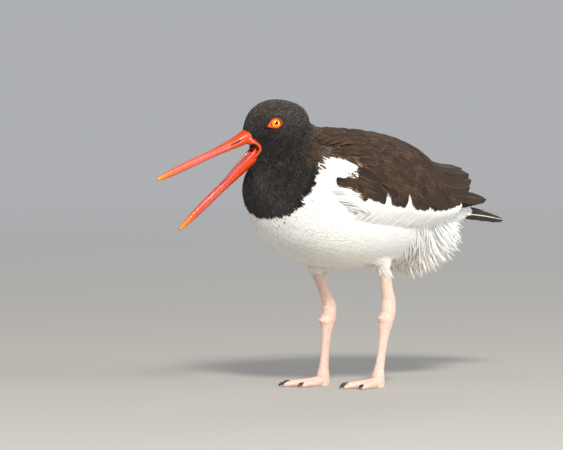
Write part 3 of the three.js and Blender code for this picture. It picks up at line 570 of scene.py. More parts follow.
# Rings square to a bent line: offsets x to its side and z to its front, for each share along it.
def limbRings(line, t, x, z):
    ahead = unit(line(np.minimum(t + 0.01, 1)) - line(np.maximum(t - 0.01, 0)))
    side = unit(vec(1, 0, 0) - ahead * ahead[:, :1])
    fore = np.cross(ahead, side)
    return line(t)[:, None] + side[:, None] * x[..., None] + fore[:, None] * z[..., None]


# A limb of oval rings: sine times half width to the side, cosine times depth to the front.
def ovalLimb(line, half, deep, rows, around):
    t = np.linspace(0, 1, rows)
    s, c = turnOf(around)
    return limbRings(line, t, s * half(t)[:, None], c * deep(t)[:, None])


# The wing and back flesh: an arch just under the mantle's surface, sunk to the torso at its ends and edges.
def mantleBody():
    y = np.linspace(-62, 116, 90)[:, None]
    bottom = mantle["bottom"](y) - 4
    angle = np.radians(np.linspace(-1, 1, 90)[None] * bottom)
    edge = bottom - np.abs(np.degrees(angle))
    full = smooth(-62, -34, y) * smooth(116, 92, y) * smooth(0, 16, edge)
    inner, outer = torsoPoint(y, angle, -coatDepth["under"]), mantlePoint(y, angle, -coatDepth["wing"])
    return mix(inner, outer, full[..., None])


# The tail's stub: rounded rings that narrow and flatten towards the rear, drawn in at both ends.
def tailStub(a):
    t = np.linspace(0, 1, 40)[:, None]
    sizes = (mix(24, 17, t), mix(11, 1.5, t), mix(30, 5, np.sqrt(t)))
    x, z = ringPoint(a, *(size * dome(2 * t - 1, 4) - coatDepth["tail"] for size in sizes))
    return np.stack([x, mix(90, 146, t) + 0 * x, mix(151, 143, t) + z], -1)


# The flesh under the coat: torso, neck and skull by rings spaced as a cosine, then mantle, tail and thighs.
def skinForms():
    a = np.linspace(0, 2 * np.pi, 96, endpoint=False)[None]
    end = np.cos(np.linspace(0.02, np.pi - 0.02, 90))[:, None]
    middle, reach = spanOf(torso["front"], torso["rear"])
    yield torsoPoint(middle - (reach - coatDepth["torso"]) * end, a, -coatDepth["torso"])
    yield neckPoint((1 - end) / 2 * np.ones_like(a), a, -coatDepth["neck"])
    middle, reach = spanOf(skull["back"], skull["front"])
    yield skullPoint(middle - (reach - coatDepth["skull"]) * end, a, -coatDepth["skull"])
    yield mantleBody()
    yield tailStub(a)
    for leg in legs.values():
        knee = mix(leg["hip"], leg["fluff"], 0.5)
        line = lineThrough(leg["hip"] + vec(0, 0, 10), knee, leg["fluff"] + vec(0, 0, 2))
        yield ovalLimb(line, thigh["half"], thigh["deep"], 24, 48)


# Puts a modifier on a piece and keeps its result as the piece's mesh.
def remade(piece, kind, **settings):
    modifier = piece.modifiers.new("change", kind)
    for key, value in settings.items():
        setattr(modifier, key, value)
    made = bpy.data.meshes.new_from_object(piece.evaluated_get(bpy.context.evaluated_depsgraph_get()))
    old = piece.data
    piece.modifiers.clear()
    piece.data = made
    bpy.data.meshes.remove(old)


eye = {"radius": 5.5, "spot": (5.9, 18.3, 6.6), "bulge": 0.85}


# The eye's place on the head's side and its own axes: outward, ahead and up.
def eyeAxes(side):
    f, l, u = eye["spot"]
    out = unit(left * side + upward * 0.2 + forward * 0.1)
    ahead = unit(forward - out * dot(forward, out))
    return inHead(f, side * l, u), out, ahead, np.cross(ahead, out) * side


# Depth of points over the eye's plane, and their offsets within it.
def fromEye(p, side):
    spot, out = eyeAxes(side)[:2]
    q = p - spot
    depth = q @ out
    return depth, q - depth[:, None] * out


# Around each eye the skin is drawn in behind the lid ring: a dish that fades out by its rim.
def drawInEyes(p):
    for side in (-1, 1):
        depth, offset = fromEye(p, side)
        flat = np.linalg.norm(offset, axis=1)
        near = (depth > -9) & (flat < 11)
        sink = np.where(near, smooth(7.4, 3.6, flat) * np.maximum(0, depth + 1.9), 0)
        p = p - sink[:, None] * eyeAxes(side)[1]
    return p


mouth = {
    "throat": 14, "power": 0.8,
    "half": through((14, 0.5), (15.5, 4.5), (20.5, 7.4), (21.6, 9), (22.4, 15), (50, 15)),
    "lining": through((14, 0.4), (15.5, 4.4), (20.5, 7.2), (24, 7.9)),
    "top": through((14, -11.5), (17, -8.2), (22, -9.0), (26, -8.2), (31, -5.5), (50, -5)),
    "bottom": through((14, -12.5), (17, -15.5), (22, -15.2), (27, -16.6), (36, -23), (50, -32)),
}


# The open mouth: a wedge between the jaws, narrow at the throat and wider than the face ahead of the gape.
def mouthRings(rows, front, pad=0.0, width="half"):
    f = np.linspace(mouth["throat"], front, rows)[:, None]
    s, c = turnOf(40)
    middle, reach = spanOf(mouth["bottom"](f) - pad, mouth["top"](f) + pad)
    l = bent(s, mouth["power"]) * (mouth[width](f) + pad)
    return inHead(f, l, middle + bent(c, mouth["power"]) * reach)


# One surface round all the forms, smoothed, drawn in at the eyes, cut open at the mouth, mapped and tinted.
def makeSkin():
    skin = addPiece("skin", *joined([tube(rings)[:2] for rings in skinForms()]))
    remade(skin, "REMESH", mode="VOXEL", voxel_size=0.00135)
    remade(skin, "SMOOTH", factor=0.5, iterations=5)
    setPoints(skin.data, drawInEyes(pointsOf(skin.data)))
    skin.data.update()
    cutter = addPiece("cutter", *tube(mouthRings(40, 50.0))[:2])
    remade(skin, "BOOLEAN", operation="DIFFERENCE", solver="EXACT", object=cutter)
    bpy.data.objects.remove(cutter)
    bpy.context.view_layer.objects.active = skin
    skin.select_set(True)
    bpy.ops.object.mode_set(mode="EDIT")
    bpy.ops.mesh.select_all(action="SELECT")
    bpy.ops.mesh.quads_convert_to_tris()
    skin.data.uv_layers.new(name="OFBake")
    bpy.ops.uv.smart_project(angle_limit=1.2, island_margin=0.003)
    bpy.ops.object.mode_set(mode="OBJECT")
    skin.select_set(False)
    mesh = skin.data
    points = pointsOf(mesh)
    mark = markAt(points)
    # Painted shade: the skin takes the coat's tones a fifth darker, for the shade in the gaps between the
    # tufts.
    setTint(mesh, toneAt(points, mark) * 0.8)
    mesh.shade_smooth()
    mesh.materials.clear()
    for material, _ in plumage:
        mesh.materials.append(material)
    corners = read(mesh.loops, "vertex_index", 1, np.int32).reshape(-1, 3)
    fill(mesh.polygons, "material_index", mark[corners[:, 0]], np.int32)
    mesh.update()
    return skin, points, corners


skin, skinPoints, skinFaces = makeSkin()
place(skin, ["head", "neck", "torso", "thigh_left", "thigh_right"], "plumage_white")
skinNormals = read(skin.data.vertex_normals, "vector", 3).astype(float)
skinMap = read(skin.data.uv_layers["OFBake"].uv, "vector", 2).reshape(-1, 3, 2).astype(float)
skinTree = BVHTree.FromPolygons([Vector(v) for v in skinPoints], skinFaces.tolist())
print("stage: skin made,", len(skinFaces), "triangles")


# The coat's small feathers

# The way the plumage lies: back over the head, down the neck, then back and a little down along the body.
def lieAt(p, normal):
    f, l, u = toHead(p)
    headShare = (smooth(-26, -8, u + 0.25 * f) * smooth(-40, -22, f))[:, None]
    neckShare = (smooth(168, 196, p[:, 2]) * smooth(-30, -52, p[:, 1]))[:, None] * (1 - headShare)
    fan = unit(np.stack([0 * f - 1, 0.05 * l / 10, (u + 6) * 0.035], -1))
    headWay = fan[:, :1] * forward + fan[:, 1:2] * left + fan[:, 2:] * upward + vec(0, 0, -0.25)
    aside = 0.12 * np.sign(p[:, 0]) * smooth(0, 30, np.abs(p[:, 0]))
    bodyWay = np.stack([aside, 1 + 0 * f, -0.30 + 0 * f], -1)
    way = headWay * headShare + vec(0, 0.55, -1) * neckShare + bodyWay * (1 - headShare - neckShare)
    return unit(way - normal * dot(way, normal)[:, None])


def thinned(count):
    return count // 1


# Evenly spread places on the skin: steps of equal weight through the triangles in order,
# where a triangle's weight is its area times the density there.
def scatter(count, density):
    count = thinned(count)
    a, b, c = (skinPoints[skinFaces[:, k]] for k in range(3))
    area = np.linalg.norm(np.cross(b - a, c - a), axis=1) / 2
    weight = np.cumsum(area * density((a + b + c) / 3))
    spot = (np.arange(count) + draw.random(count)) / count * weight[-1]
    tri = np.minimum(np.searchsorted(weight, spot), len(weight) - 1)
    u, v = draw.random((2, count))
    flip = u + v > 1
    u, v = np.where(flip, 1 - u, u), np.where(flip, 1 - v, v)
    share = np.stack([1 - u - v, u, v], -1)[..., None]
    root, normal = ((rows[skinFaces[tri]] * share).sum(1) for rows in (skinPoints, skinNormals))
    return root, unit(normal), (skinMap[tri] * share).sum(1)


# Thin three-sided blades: at each station a left edge, a ridge and a right edge, closed to a point.
# Shades, and steps on the coat's map, are given for each station and for the end; the shades darken each
# blade towards its root as painted shade.
def blades(edges, end, shade, step, tone, spot):
    n, rows = edges[0].shape[:2]
    points = np.concatenate([np.stack(edges, 2).reshape(n, rows * 3, 3), end[:, None]], 1)
    quads = np.roll(squares(rows, 3)[0][:, ::-1], 1, axis=1)
    last = rows * 3 - 3
    tris = np.array([[0, 3, 1], [1, 3, 2], [2, 3, 0], [-last, 1 - last, 2 - last]]) + last
    base = (np.arange(n) * (rows * 3 + 1))[:, None, None]
    shade, along = (np.append(np.repeat(row[:-1], 3), row[-1]) for row in (shade, step))
    across = np.append(np.tile([-0.5, 0, 0.5], rows), 0)
    bake = np.clip(spot[:, None] + np.stack([across, along], -1) * 0.003, 0.001, 0.999)
    faces = [(quads + base).reshape(-1, 4), (tris + base).reshape(-1, 3)]
    return points.reshape(-1, 3), faces, (tone[:, None] * shade[:, None]).reshape(-1, 3), bake.reshape(-1, 2)


# Each tuft is a thin blade along an arc from its root to a point over the skin further down its lie:
# a curve of second degree, its width a rounded bump that ends in a point.
def tufts(size, root, normal, length, width, lift, tone, spot):
    station = vec(0, 0.4, 0.75)
    way = lieAt(root, normal)
    way = unit(way + np.cross(normal, way) * draw.normal(0, size["bend"], len(root))[:, None])
    found = [skinTree.find_nearest(Vector(goal)) for goal in root + way * length[:, None]]
    near, over = (np.array([hit[k] for hit in found]) for k in (0, 1))
    end = near + over * lift[:, None]
    rise = lift * 0.75 + 0.12 * length * np.linalg.norm(normal - over, axis=1)
    middle = (root + near) / 2 + (normal + over) * 0.5 * rise[:, None]
    start = root - normal * 0.5
    t = station[None, :, None]
    path = start[:, None] * (1 - t) ** 2 + 2 * middle[:, None] * t * (1 - t) + end[:, None] * t**2
    out = unit(mix(normal[:, None], over[:, None], t))
    across = unit(np.cross(out, unit(end - start)[:, None]))
    wide = vec(0.55, 1.0, 0.72)[None, :, None] * width[:, None, None] / 2
    fall = out * wide * size["sag"]
    edges = [path + across * wide - fall, path + out * size["thick"], path - across * wide - fall]
    # Painted shade: darker towards the root by the coat's root factor; the end takes the tip factor.
    shade = np.append(mix(size["root"], 1.0, station), size["tip"])
    return blades(edges, end, shade, np.append(station - 0.4, 0.6), tone, spot)


def addCoat(name, parts, mark):
    points, faces, colour, spots = joined(parts)
    bake = np.concatenate([spots[f.ravel()] for f in faces])
    material, slotName = plumage[mark]
    piece = addPiece(name, points, faces, bake=bake, colour=colour, material=material, crisp=True)
    print("  coat", name, len(faces[0]) * 2 + len(faces[1]), "triangles")
    place(piece, [], slotName)


# Sizes in millimetres; root is a painted shade that darkens the tuft towards its root, and tip a factor that
# makes its point lighter, both against the tuft's own tone.
coat = {
    "face": {"mark": 0, "length": 3.7, "width": 1.05, "lift": 0.85, "thick": 0.16, "root": 0.45, "tip": 2.6,
             "bend": 0.25, "sag": 0.25},
    "hood": {"mark": 0, "length": 6.8, "width": 1.3, "lift": 1.25, "thick": 0.22, "root": 0.5, "tip": 2.0,
             "bend": 0.2, "sag": 0.25},
    "white": {"mark": 1, "length": 13.0, "width": 2.1, "lift": 1.05, "thick": 0.13, "root": 0.9, "tip": 1.0,
              "bend": 0.12, "sag": 0.12},
    "brown": {"mark": 2, "length": 7.5, "width": 1.7, "lift": 1.3, "thick": 0.24, "root": 0.55, "tip": 2.0,
              "bend": 0.25, "sag": 0.2},
}


# Where no small feather grows: inside the mouth and under the lid rings.
def isBare(p):
    f, l, u = toHead(p)
    bare = (f > 13.5) & (f < 60) & (np.abs(l) < mouth["half"](f) + 1.2)
    bare &= (u < mouth["top"](f) + 0.5) & (u > mouth["bottom"](f) - 0.5)
    for side in (-1, 1):
        depth, offset = fromEye(p, side)
        flat = np.linalg.norm(offset, axis=1)
        ahead = offset @ eyeAxes(side)[2]
        bare |= (np.hypot(ahead * 0.82, flat * 0.6) < 4.0) & (depth > -6) & (flat < 5.2)
    return bare


# How densely each coat grows over the body

def faceShare(p):
    f, _, u = toHead(p)
    return smooth(-34, -14, f) * smooth(-34, -16, u)


def hoodShare(p):
    return (1 - faceShare(p)) * smooth(10, 2, pastHood(p)) * smooth(130, 140, p[:, 2])


def shoulderShare(p):
    return smooth(10, -30, p[:, 1]) * (p[:, 2] > 150)


def whiteShare(start, stop):
    def share(p):
        y = p[:, 1]
        underWing = (y > -30) & (y < 108) & (fromTop(p, mantle["axis"]) < mantle["bottom"](y) - 12)
        return (y >= start) * (y < stop) * (p[:, 2] < 206) * (pastHood(p) > -12) * (1 - 0.92 * underWing)

    return share


# Feathers of one kind where the markings have its colour, their sizes and tones drawn about the kind's own.
def growCoat(name, kind, count, density):
    size = coat[kind]
    root, normal, spot = scatter(count, density)
    mark = markAt(root)
    kept = (mark == size["mark"]) & ~isBare(root)
    root, normal, spot, mark = root[kept], normal[kept], spot[kept], mark[kept]
    n = len(root)
    tone = toneAt(root, mark)
    past = pastHood(root)
    if kind == "white":
        tone = tone * draw.uniform(0.97, 1.02, n)[:, None]
        small = 1 - 0.5 * smooth(16, 4, past)
    else:
        clump = 1 + 0.5 * waver(root, 1.4) + draw.normal(0, 0.15, n) + 1.7 * (draw.random(n) < 0.16)
        tone = tone * np.clip(clump, 0.3, 3)[:, None]
        small = 1 - 0.45 * faceShare(root) - 0.45 * smooth(-12, -2, past) * (kind == "hood")
    length = size["length"] * draw.uniform(0.75, 1.2, n) * small
    width = size["width"] * draw.uniform(0.75, 1.2, n) * small
    lift = size["lift"] * draw.uniform(0.7, 1.2, n) * small
    addCoat(name, [tufts(size, root, normal, length, width, lift, tone, spot)], size["mark"])


growCoat("coatFace", "face", 13500, faceShare)
growCoat("coatHood", "hood", 12000, hoodShare)
growCoat("coatBreast", "white", 13000, whiteShare(-120, -35))
growCoat("coatFlank", "white", 13400, whiteShare(-35, 35))
growCoat("coatBelly", "white", 13400, whiteShare(35, 160))
growCoat("coatShoulder", "brown", 12000, shoulderShare)


# Long loose locks: thin blades on a curve from a root, a way that they leave by and a pull that bends them.
def locks(root, way, pull, length, width, tone, spot, normal):
    t = vec(0, 0.3, 0.62, 0.85)[None, :, None]
    reach = length[:, None, None]
    path = root[:, None] + way[:, None] * reach * t + pull[:, None] * reach * t**2
    end = root + (way + pull) * length[:, None]
    ahead = unit(way + pull)[:, None]
    out = normal[:, None] + draw.normal(0, 0.06, (len(root), 1, 3))
    out = unit(out - ahead * dot(out, ahead)[..., None])
    across = np.cross(out, ahead)
    wide = vec(0.7, 1.0, 0.75, 0.4)[None, :, None] * width[:, None, None] / 2
    edges = [path + across * wide, path + out * wide * 0.2, path - across * wide]
    # Painted shade: each lock is a little darker towards its root.
    return blades(edges, end, vec(0.92, 0.96, 1.0, 1.0, 1.0), vec(-0.5, -0.2, 0.1, 0.3, 0.5), tone, spot)


def whiteTone(p, low, high):
    return toneAt(p, np.ones(len(p), int)) * draw.uniform(low, high, len(p))[:, None]


vent = {
    "count": 8600,
    # degrees below level and millimetres, by y
    "drop": through((0, 22), (25, 40), (48, 60), (60, 58), (72, 50), (86, 42), (98, 30), (112, 12)),
    "length": through((0, 9), (25, 12), (45, 24), (58, 26), (72, 24), (88, 23), (98, 15), (108, 10),
                      (140, 7)),
}


# Denser towards the tail, and further forward under the belly than on the side.
def ventShare(p):
    angle = fromTop(p, torso["axis"])
    return smooth(mix(8, 30, smooth(120, 165, angle)), 66, p[:, 1]) * smooth(98, 112, angle) * (p[:, 1] < 142)


# Loose feathers under the tail: they leave the skin rearward, dropped by an angle that is steepest behind
# the legs. Neighbours gather into spikes, because what bends a lock changes slowly along the body.
def ventLocks():
    root, normal, spot = scatter(vent["count"], ventShare)
    n = len(root)
    gather = waver(root, 2.6)
    drop = np.radians(vent["drop"](root[:, 1]) + 3 * gather + draw.normal(0, 5, n))
    free = smooth(46, 78, root[:, 1])[:, None]
    aside = np.sign(root[:, 0]) * 0.18 * smooth(0, 25, np.abs(root[:, 0]))
    aside = aside + 0.10 * waver(root, 3.3) + draw.normal(0, 0.05, n)
    way = np.stack([aside, np.cos(drop), -np.sin(drop)], -1)
    flat = way - normal * dot(way, normal)[:, None] + normal * 0.16
    way = unit(mix(flat, way + normal * 0.14, free))
    pull = np.stack([0 * drop, 0.16 + 0 * drop, -0.10 + 0.1 * gather], -1) * free - normal * 0.12 * (1 - free)
    length = vent["length"](root[:, 1]) * draw.uniform(0.55, 1.0, n) * (0.95 + 0.30 * gather)
    width = draw.uniform(1.0, 2.2, n)
    return locks(root - normal * 0.4, way, pull, length, width, whiteTone(root, 0.96, 1.03), spot, normal)


# Flank feathers spill over the wing's lower edge, highest in two flames, and breast feathers over its front.
flank = {
    "count": 1850, "from": -38.0, "to": 98.0,
    "flames": ((-14.0, 5.0, 12.0), (12.5, 6.5, 14.0), (41.0, 7.0, 4.0)),  # y, spread, rise in degrees
    "frontCount": 500, "frontAngle": (82.0, 98.0), "frontY": (-57.0, -38.0),
}


# Locks from the skin up over the mantle's surface: a curve of second degree through (y, degrees, lift) of its
# root, middle and tip, with its root moved to the nearest place on the skin.
def overMantle(side, root, middle, tip, width):
    places = [mantlePoint(y, side * np.radians(angle), lift) for y, angle, lift in (root, middle, tip)]
    hits = [skinTree.find_nearest(Vector(p)) for p in places[0]]
    places[0] = np.array([hit[0] - hit[1] * 0.4 for hit in hits])
    corner = np.array([skinMap[hit[2]].mean(0) for hit in hits])
    normal = unit(mantleNormal(middle[0], side * np.radians(middle[1])) + vec(0.5 * side, 0, 0.7))
    pull = 2 * places[2] + 2 * places[0] - 4 * places[1]
    way = places[2] - places[0] - pull
    tone = whiteTone(places[0], 0.96, 1.02)
    return locks(places[0], way, pull, np.ones(len(width)), width, tone, corner, normal)


# Roots below the wing's edge, tips above it by a rise that peaks in the flames and leans to their middles.
def flankLocks(side):
    n = thinned(flank["count"])
    y = mix(flank["from"], flank["to"], (np.arange(n) + draw.random(n)) / n)
    rise = 1.8 + 1.6 * waver(np.stack([y, 0 * y, 0 * y], -1), 1.4) + draw.uniform(0, 2.0, n)
    shift = draw.uniform(1.5, 4.5, n)
    for at, spread, high in flank["flames"]:
        near = np.maximum(0, 1 - np.abs(y - at) / spread)
        rise = rise + high * near * draw.uniform(0.45, 1.0, n)
        shift = mix(shift, at - y, 0.55 * near)
    edge = mantle["bottom"](y)
    depth = draw.uniform(3, 25, n)
    root = (y - 0.3 * depth, edge + depth, -2.0 + 0 * y)
    middle = (y + 0.25 * shift, edge + 0.3 * depth - 0.3 * rise, draw.uniform(0.5, 1.3, n) - 0.04 * depth)
    tip = (y + shift, edge - rise, draw.uniform(1.6, 2.6, n))
    return overMantle(side, root, middle, tip, draw.uniform(0.6, 1.4, n))


# Roots along a slant line ahead of the wing, tips a few millimetres further back over its front edge.
def breastLocks(side):
    n = thinned(flank["frontCount"])
    share = (np.arange(n) + draw.random(n)) / n
    angle = mix(*flank["frontAngle"], share) + draw.normal(0, 1.5, n)
    y = mix(*flank["frontY"], share ** 1.3) + draw.normal(0, 2.4, n)
    reach = draw.uniform(4.0, 13.0, n) * draw.uniform(0.5, 1.0, n)
    root = (y - 6.0, angle + 2.0, -2.0 + 0 * y)
    middle = (y + 0.35 * reach, angle + 2.0, draw.uniform(-1.6, -0.3, n))
    tip = (y + reach, angle + 0.6 * reach, draw.uniform(0.7, 1.5, n))
    return overMantle(side, root, middle, tip, draw.uniform(0.5, 1.1, n))


# Dense near the top of each bare leg.
def thighShare(p):
    away = [np.hypot(p[:, 0] - leg["fluff"][0], p[:, 1] - leg["fluff"][1] + 3) for leg in legs.values()]
    return smooth(15, 6, np.minimum(*away)) * smooth(104, 95, p[:, 2])


# Short ruffled locks round the top of each bare leg: they hang down and a little back.
def thighLocks():
    root, normal, spot = scatter(2600, thighShare)
    n = len(root)
    way = np.stack([draw.normal(0, 0.10, n), 0.35 + draw.normal(0, 0.15, n), -1 + 0 * root[:, 0]], -1)
    way = unit(way + normal * 0.10)
    pull = vec(0, 0.25, 0.0) + 0 * root
    length = draw.uniform(2, 7, n) + 6 * np.maximum(0, waver(root, 1.0))
    tone = whiteTone(root, 0.94, 1.02)
    return locks(root - normal * 0.3, way, pull, length, draw.uniform(0.4, 1.0, n), tone, spot, normal)


addCoat("ventLocks", [ventLocks()], 1)
addCoat("flankLocks", [flankLocks(1), flankLocks(-1), breastLocks(1), breastLocks(-1), thighLocks()], 1)
print("stage: coat grown")


# Vanes: the individual feathers of wings, back and tail

# Each vane is a thin closed blade along a path: across it a shallow arch with a raised shaft,
# along it the outline of a half width that swells from the quill and rounds off at the tip.
def vanes(path, facing, halfWidth, tone, thick=0.34, arch=0.12, across=7, pointed=0.0):
    n, rows = path.shape[:2]
    t = np.linspace(0, 1, rows)
    s = np.linspace(-1, 1, across)
    ahead = unit(np.gradient(path, axis=1))
    out = unit(facing - ahead * dot(facing, ahead)[..., None])
    side = np.cross(ahead, out)
    shoulder = mix(0.62, 0.45, pointed)
    tip = dome(np.clip((t - shoulder) / (1 - shoulder), 0, 1)) ** mix(1.0, 1.15, pointed)
    outline = np.minimum(np.clip((t + 0.16) * 2.6, 0, 1) ** 0.6, tip)
    outline[-1] = 0.05
    half = halfWidth[:, None] * outline[None] * (1 + draw.normal(0, 0.035, (n, rows)))
    lay = np.abs(s)[None, None]
    top = -arch * half[..., None] * lay**2 + 0.16 * bell(s, 0, 0.12)
    deep = thick * (1 - 0.75 * lay**2) * (1 - 0.5 * t[None, :, None])
    spread = path[:, :, None] + side[:, :, None] * (half[..., None] * s)[..., None]
    points = np.stack([spread + out[:, :, None] * height[..., None] for height in (top, top - deep)], 1)
    upper = squares(rows, across)[0].reshape(rows - 1, across, 4)[:, :-1].reshape(-1, 4)
    size = rows * across
    grid = np.arange(size).reshape(rows, across)
    edge = np.concatenate([grid[0], grid[1:, -1], grid[-1, -2::-1], grid[-2:0:-1, 0]])
    after = np.roll(edge, -1)
    rim = np.stack([after, edge, edge + size, after + size], -1)
    quads = np.concatenate([upper, upper[:, ::-1] + size, rim])
    flat = np.tile(np.stack([np.tile((s + 1) / 2, rows), np.repeat(t, across)], -1), (2, 1))[quads.ravel()]
    base = (np.arange(n) * size * 2)[:, None, None]
    columns = int(np.ceil(np.sqrt(n)))
    cell = np.stack([np.arange(n) % columns, np.arange(n) // columns], -1)[:, None] / columns
    bake = cell + (flat[None] * 0.84 + 0.08) / columns
    # Painted shade: each vane is darker towards its root, where the feathers over it shade it.
    shade = mix(0.72, 1.0, np.tile(np.repeat(smooth(0, 0.5, t), across), 2))
    colour = (tone[:, None] * shade[:, None]).reshape(-1, 3)
    faces = [(quads + base).reshape(-1, 4)]
    return points.reshape(-1, 3), faces, np.tile(flat, (n, 1)), bake.reshape(-1, 2), colour


# Each part's coat map is a strip of its own.
def addVanes(name, parts, material, nodeNames, slotName):
    strips = len(parts)
    parts = [(*mesh, np.stack([bake[:, 0], (bake[:, 1] + strip) / strips], -1), colour)
             for strip, (*mesh, bake, colour) in enumerate(parts)]
    points, faces, grain, bake, colour = joined(parts)
    piece = addPiece(name, points, faces, grain, bake, colour, material, crisp=True)
    print("  vanes", name, len(faces[0]) * 2, "triangles")
    place(piece, nodeNames, slotName)


def brownTones(n, dark=0.0):
    share = np.clip(draw.normal(0.5 - dark, 0.21, n), 0, 1.3)
    return mix(marks["brownDark"], marks["brown"], share[:, None])


# Rows of vanes over the mantle: straight lines of (y, degrees) from root to tip, sunk at the root,
# raised towards the tip and let down again at the tip itself.
def rowVanes(rows, side, sink, dark=0.0, pointed=0.0):
    y, angle, tipY, tipAngle, half = (np.concatenate(column)[:, None] for column in zip(*rows))
    t = np.linspace(0, 1, 9)[None]
    y, angle = mix(y, tipY, t), np.radians(mix(side * angle, side * tipAngle, t))
    lift = mix(-sink, 0.9, np.minimum(1, t * 1.5)) - 0.9 * smooth(0.6, 1.0, t)
    tone = brownTones(len(half), dark)
    return vanes(mantlePoint(y, angle, lift), mantleNormal(y, angle), half[:, 0], tone, pointed=pointed)


back = {
    "from": -66, "to": 98, "rows": 27, "sink": 2.8,
    "length": through((-66, 11), (-50, 17), (-20, 25), (10, 31), (40, 34), (70, 28), (98, 21)),
    "half": through((-66, 3.2), (-50, 4.4), (-20, 6.2), (10, 7.6), (40, 8.0), (70, 6.8), (98, 5.4)),
}


# Rows across the back out to the scapulars' edge, every other row set half a feather over.
def backRows():
    for row, y in enumerate(np.linspace(back["from"], back["to"], back["rows"])):
        length, width = back["length"](y), back["half"](y)
        edge = wingTop(y) + 3 - 18 * smooth(-42, -64, y)
        around = np.radians(2 * edge) * mix(50, 42, smooth(20, 100, y))
        count = max(3, int(around / (width * 1.35)))
        step = 2 * (np.arange(count) + 0.5 * (row % 2)) / (count - 0.5) - 1
        angles = edge * step + draw.normal(0, 1.6, count)
        ys = y + draw.normal(0, 2.6, count)
        tipY = ys + length * draw.uniform(0.85, 1.15, count)
        tipAngles = angles * (1.05 if y < 10 else 0.88) + draw.normal(0, 2.0, count)
        yield ys, angles, tipY, tipAngles, width * draw.uniform(0.9, 1.1, count)


addVanes("backFeathers", [rowVanes(backRows(), 1, back["sink"])], brownVane, ["mantle"], "plumage_brown")

wing = {
    "from": -60, "to": 56, "rows": 20, "sink": 2.6,
    "length": through((-58, 9), (-52, 12), (-40, 17), (-10, 24), (20, 30), (56, 31)),
    "half": through((-58, 2.2), (-52, 3.2), (-44, 4.2), (-30, 5.2), (-10, 5.8), (20, 6.2), (56, 6.2)),
    # degrees from the top to the lower edge of the white notch, by y
    "frontTop": through((-60, 73), (-50, 74), (-43, 73), (-39, 65), (-35, 56), (-28, 48)),
}


# Rows down the wing from the scapulars' edge, or the white notch, to the lower edge, where the tips stop.
def wingRows():
    for row, y in enumerate(np.linspace(wing["from"], wing["to"], wing["rows"])):
        length, width = wing["length"](y), wing["half"](y)
        top = max(wingTop(y) + 4, wing["frontTop"](y))
        bottom = mantle["bottom"](y) - 7
        count = max(3, int(np.radians(bottom - top) * 56 / (width * 1.15)))
        loose = smooth(-60, -38, y)
        step = (bottom - top) * (np.arange(count) + 0.5 * (row % 2)) / (count - 0.5)
        angles = top + step + loose * draw.normal(0, 1.4, count)
        ys = y + loose * draw.normal(0, 2.4, count)
        size = length * draw.uniform(0.92, 1.12, count)
        fall = (mix(9, 19, smooth(45, 95, angles)) + draw.normal(0, 3.0, count)) * size / 30
        tipY = ys + size * 0.93
        limit = mantle["bottom"](tipY) - 5.5 + draw.normal(0, 1.0, count)
        yield ys, angles, tipY, np.minimum(angles + fall, limit), width * draw.uniform(0.9, 1.1, count)


# Root and tip as (y, degrees), half width and lift of the tip, from the innermost down.
tertials = (((36, 47), (131, 25), 9.6, 2.0), ((40, 55), (136, 40), 9.4, 1.6), ((44, 62), (135, 54), 9.2, 1.2),
            ((48, 69), (128, 68), 9.0, 0.8), ((52, 75), (118, 80), 8.4, 0.4), ((56, 80), (106, 90), 7.6, 0.1))


# Long vanes on straight lines of (y, degrees) over the mantle, rising from under it to their own lift.
def wingTertials(side):
    start, finish, half, rise = (np.array(column, float) for column in zip(*tertials))
    t = np.linspace(0, 1, 15)[None]
    y = mix(start[:, :1], finish[:, :1], t)
    angle = np.radians(side * mix(start[:, 1:], finish[:, 1:], t))
    path = mantlePoint(y, angle, mix(-1.6, rise[:, None], np.minimum(1, t * 1.5)))
    return vanes(path, mantleNormal(y, angle), half, brownTones(len(half), 0.15), across=9, pointed=0.35)


primary = {"count": 6, "rootY": 70, "rootAngle": 76, "tipX": 11.5, "tipY": 158, "tipZ": 153.0, "half": 6.6}


# A stack of long vanes from inside the wing to tips that step back along the rump, each bowed a little down.
def wingPrimaries(side):
    count = primary["count"]
    i = np.arange(count, dtype=float)
    root = mantlePoint(primary["rootY"] + 2.4 * i, side * np.radians(primary["rootAngle"]) + 0 * i, -5.0)
    tip = np.stack([side * (primary["tipX"] + 1.3 * i * 0.8), primary["tipY"] - 6.4 * (count - 1 - i),
                    primary["tipZ"] + 0.3 * i], -1)
    t = np.linspace(0, 1, 17)[None, :, None]
    path = mix(root[:, None], tip[:, None], t)
    path[..., 2] += (i[:, None] - count + 2) * 0.75 * np.sqrt(t[..., 0]) - np.sin(t[..., 0] * np.pi)
    facing = np.broadcast_to(vec(side * 0.85, 0.1, 0.5), path.shape)
    half = np.full(count, primary["half"])
    return vanes(path, facing, half, brownTones(count, 0.45), across=9, pointed=0.6)


for side, name in bothSides:
    coverts = rowVanes(wingRows(), side, wing["sink"], dark=0.1, pointed=0.3)
    addVanes("coverts_" + name, [coverts], brownVane, ["wing_" + name], "plumage_brown")
    addVanes("quills_" + name, [wingTertials(side), wingPrimaries(side)], flightVane, [], "plumage_brown")
print("stage: wings and back feathered")

tail = {"pairs": 6, "half": 6.4, "endY": 171.0, "spread": 28.0}


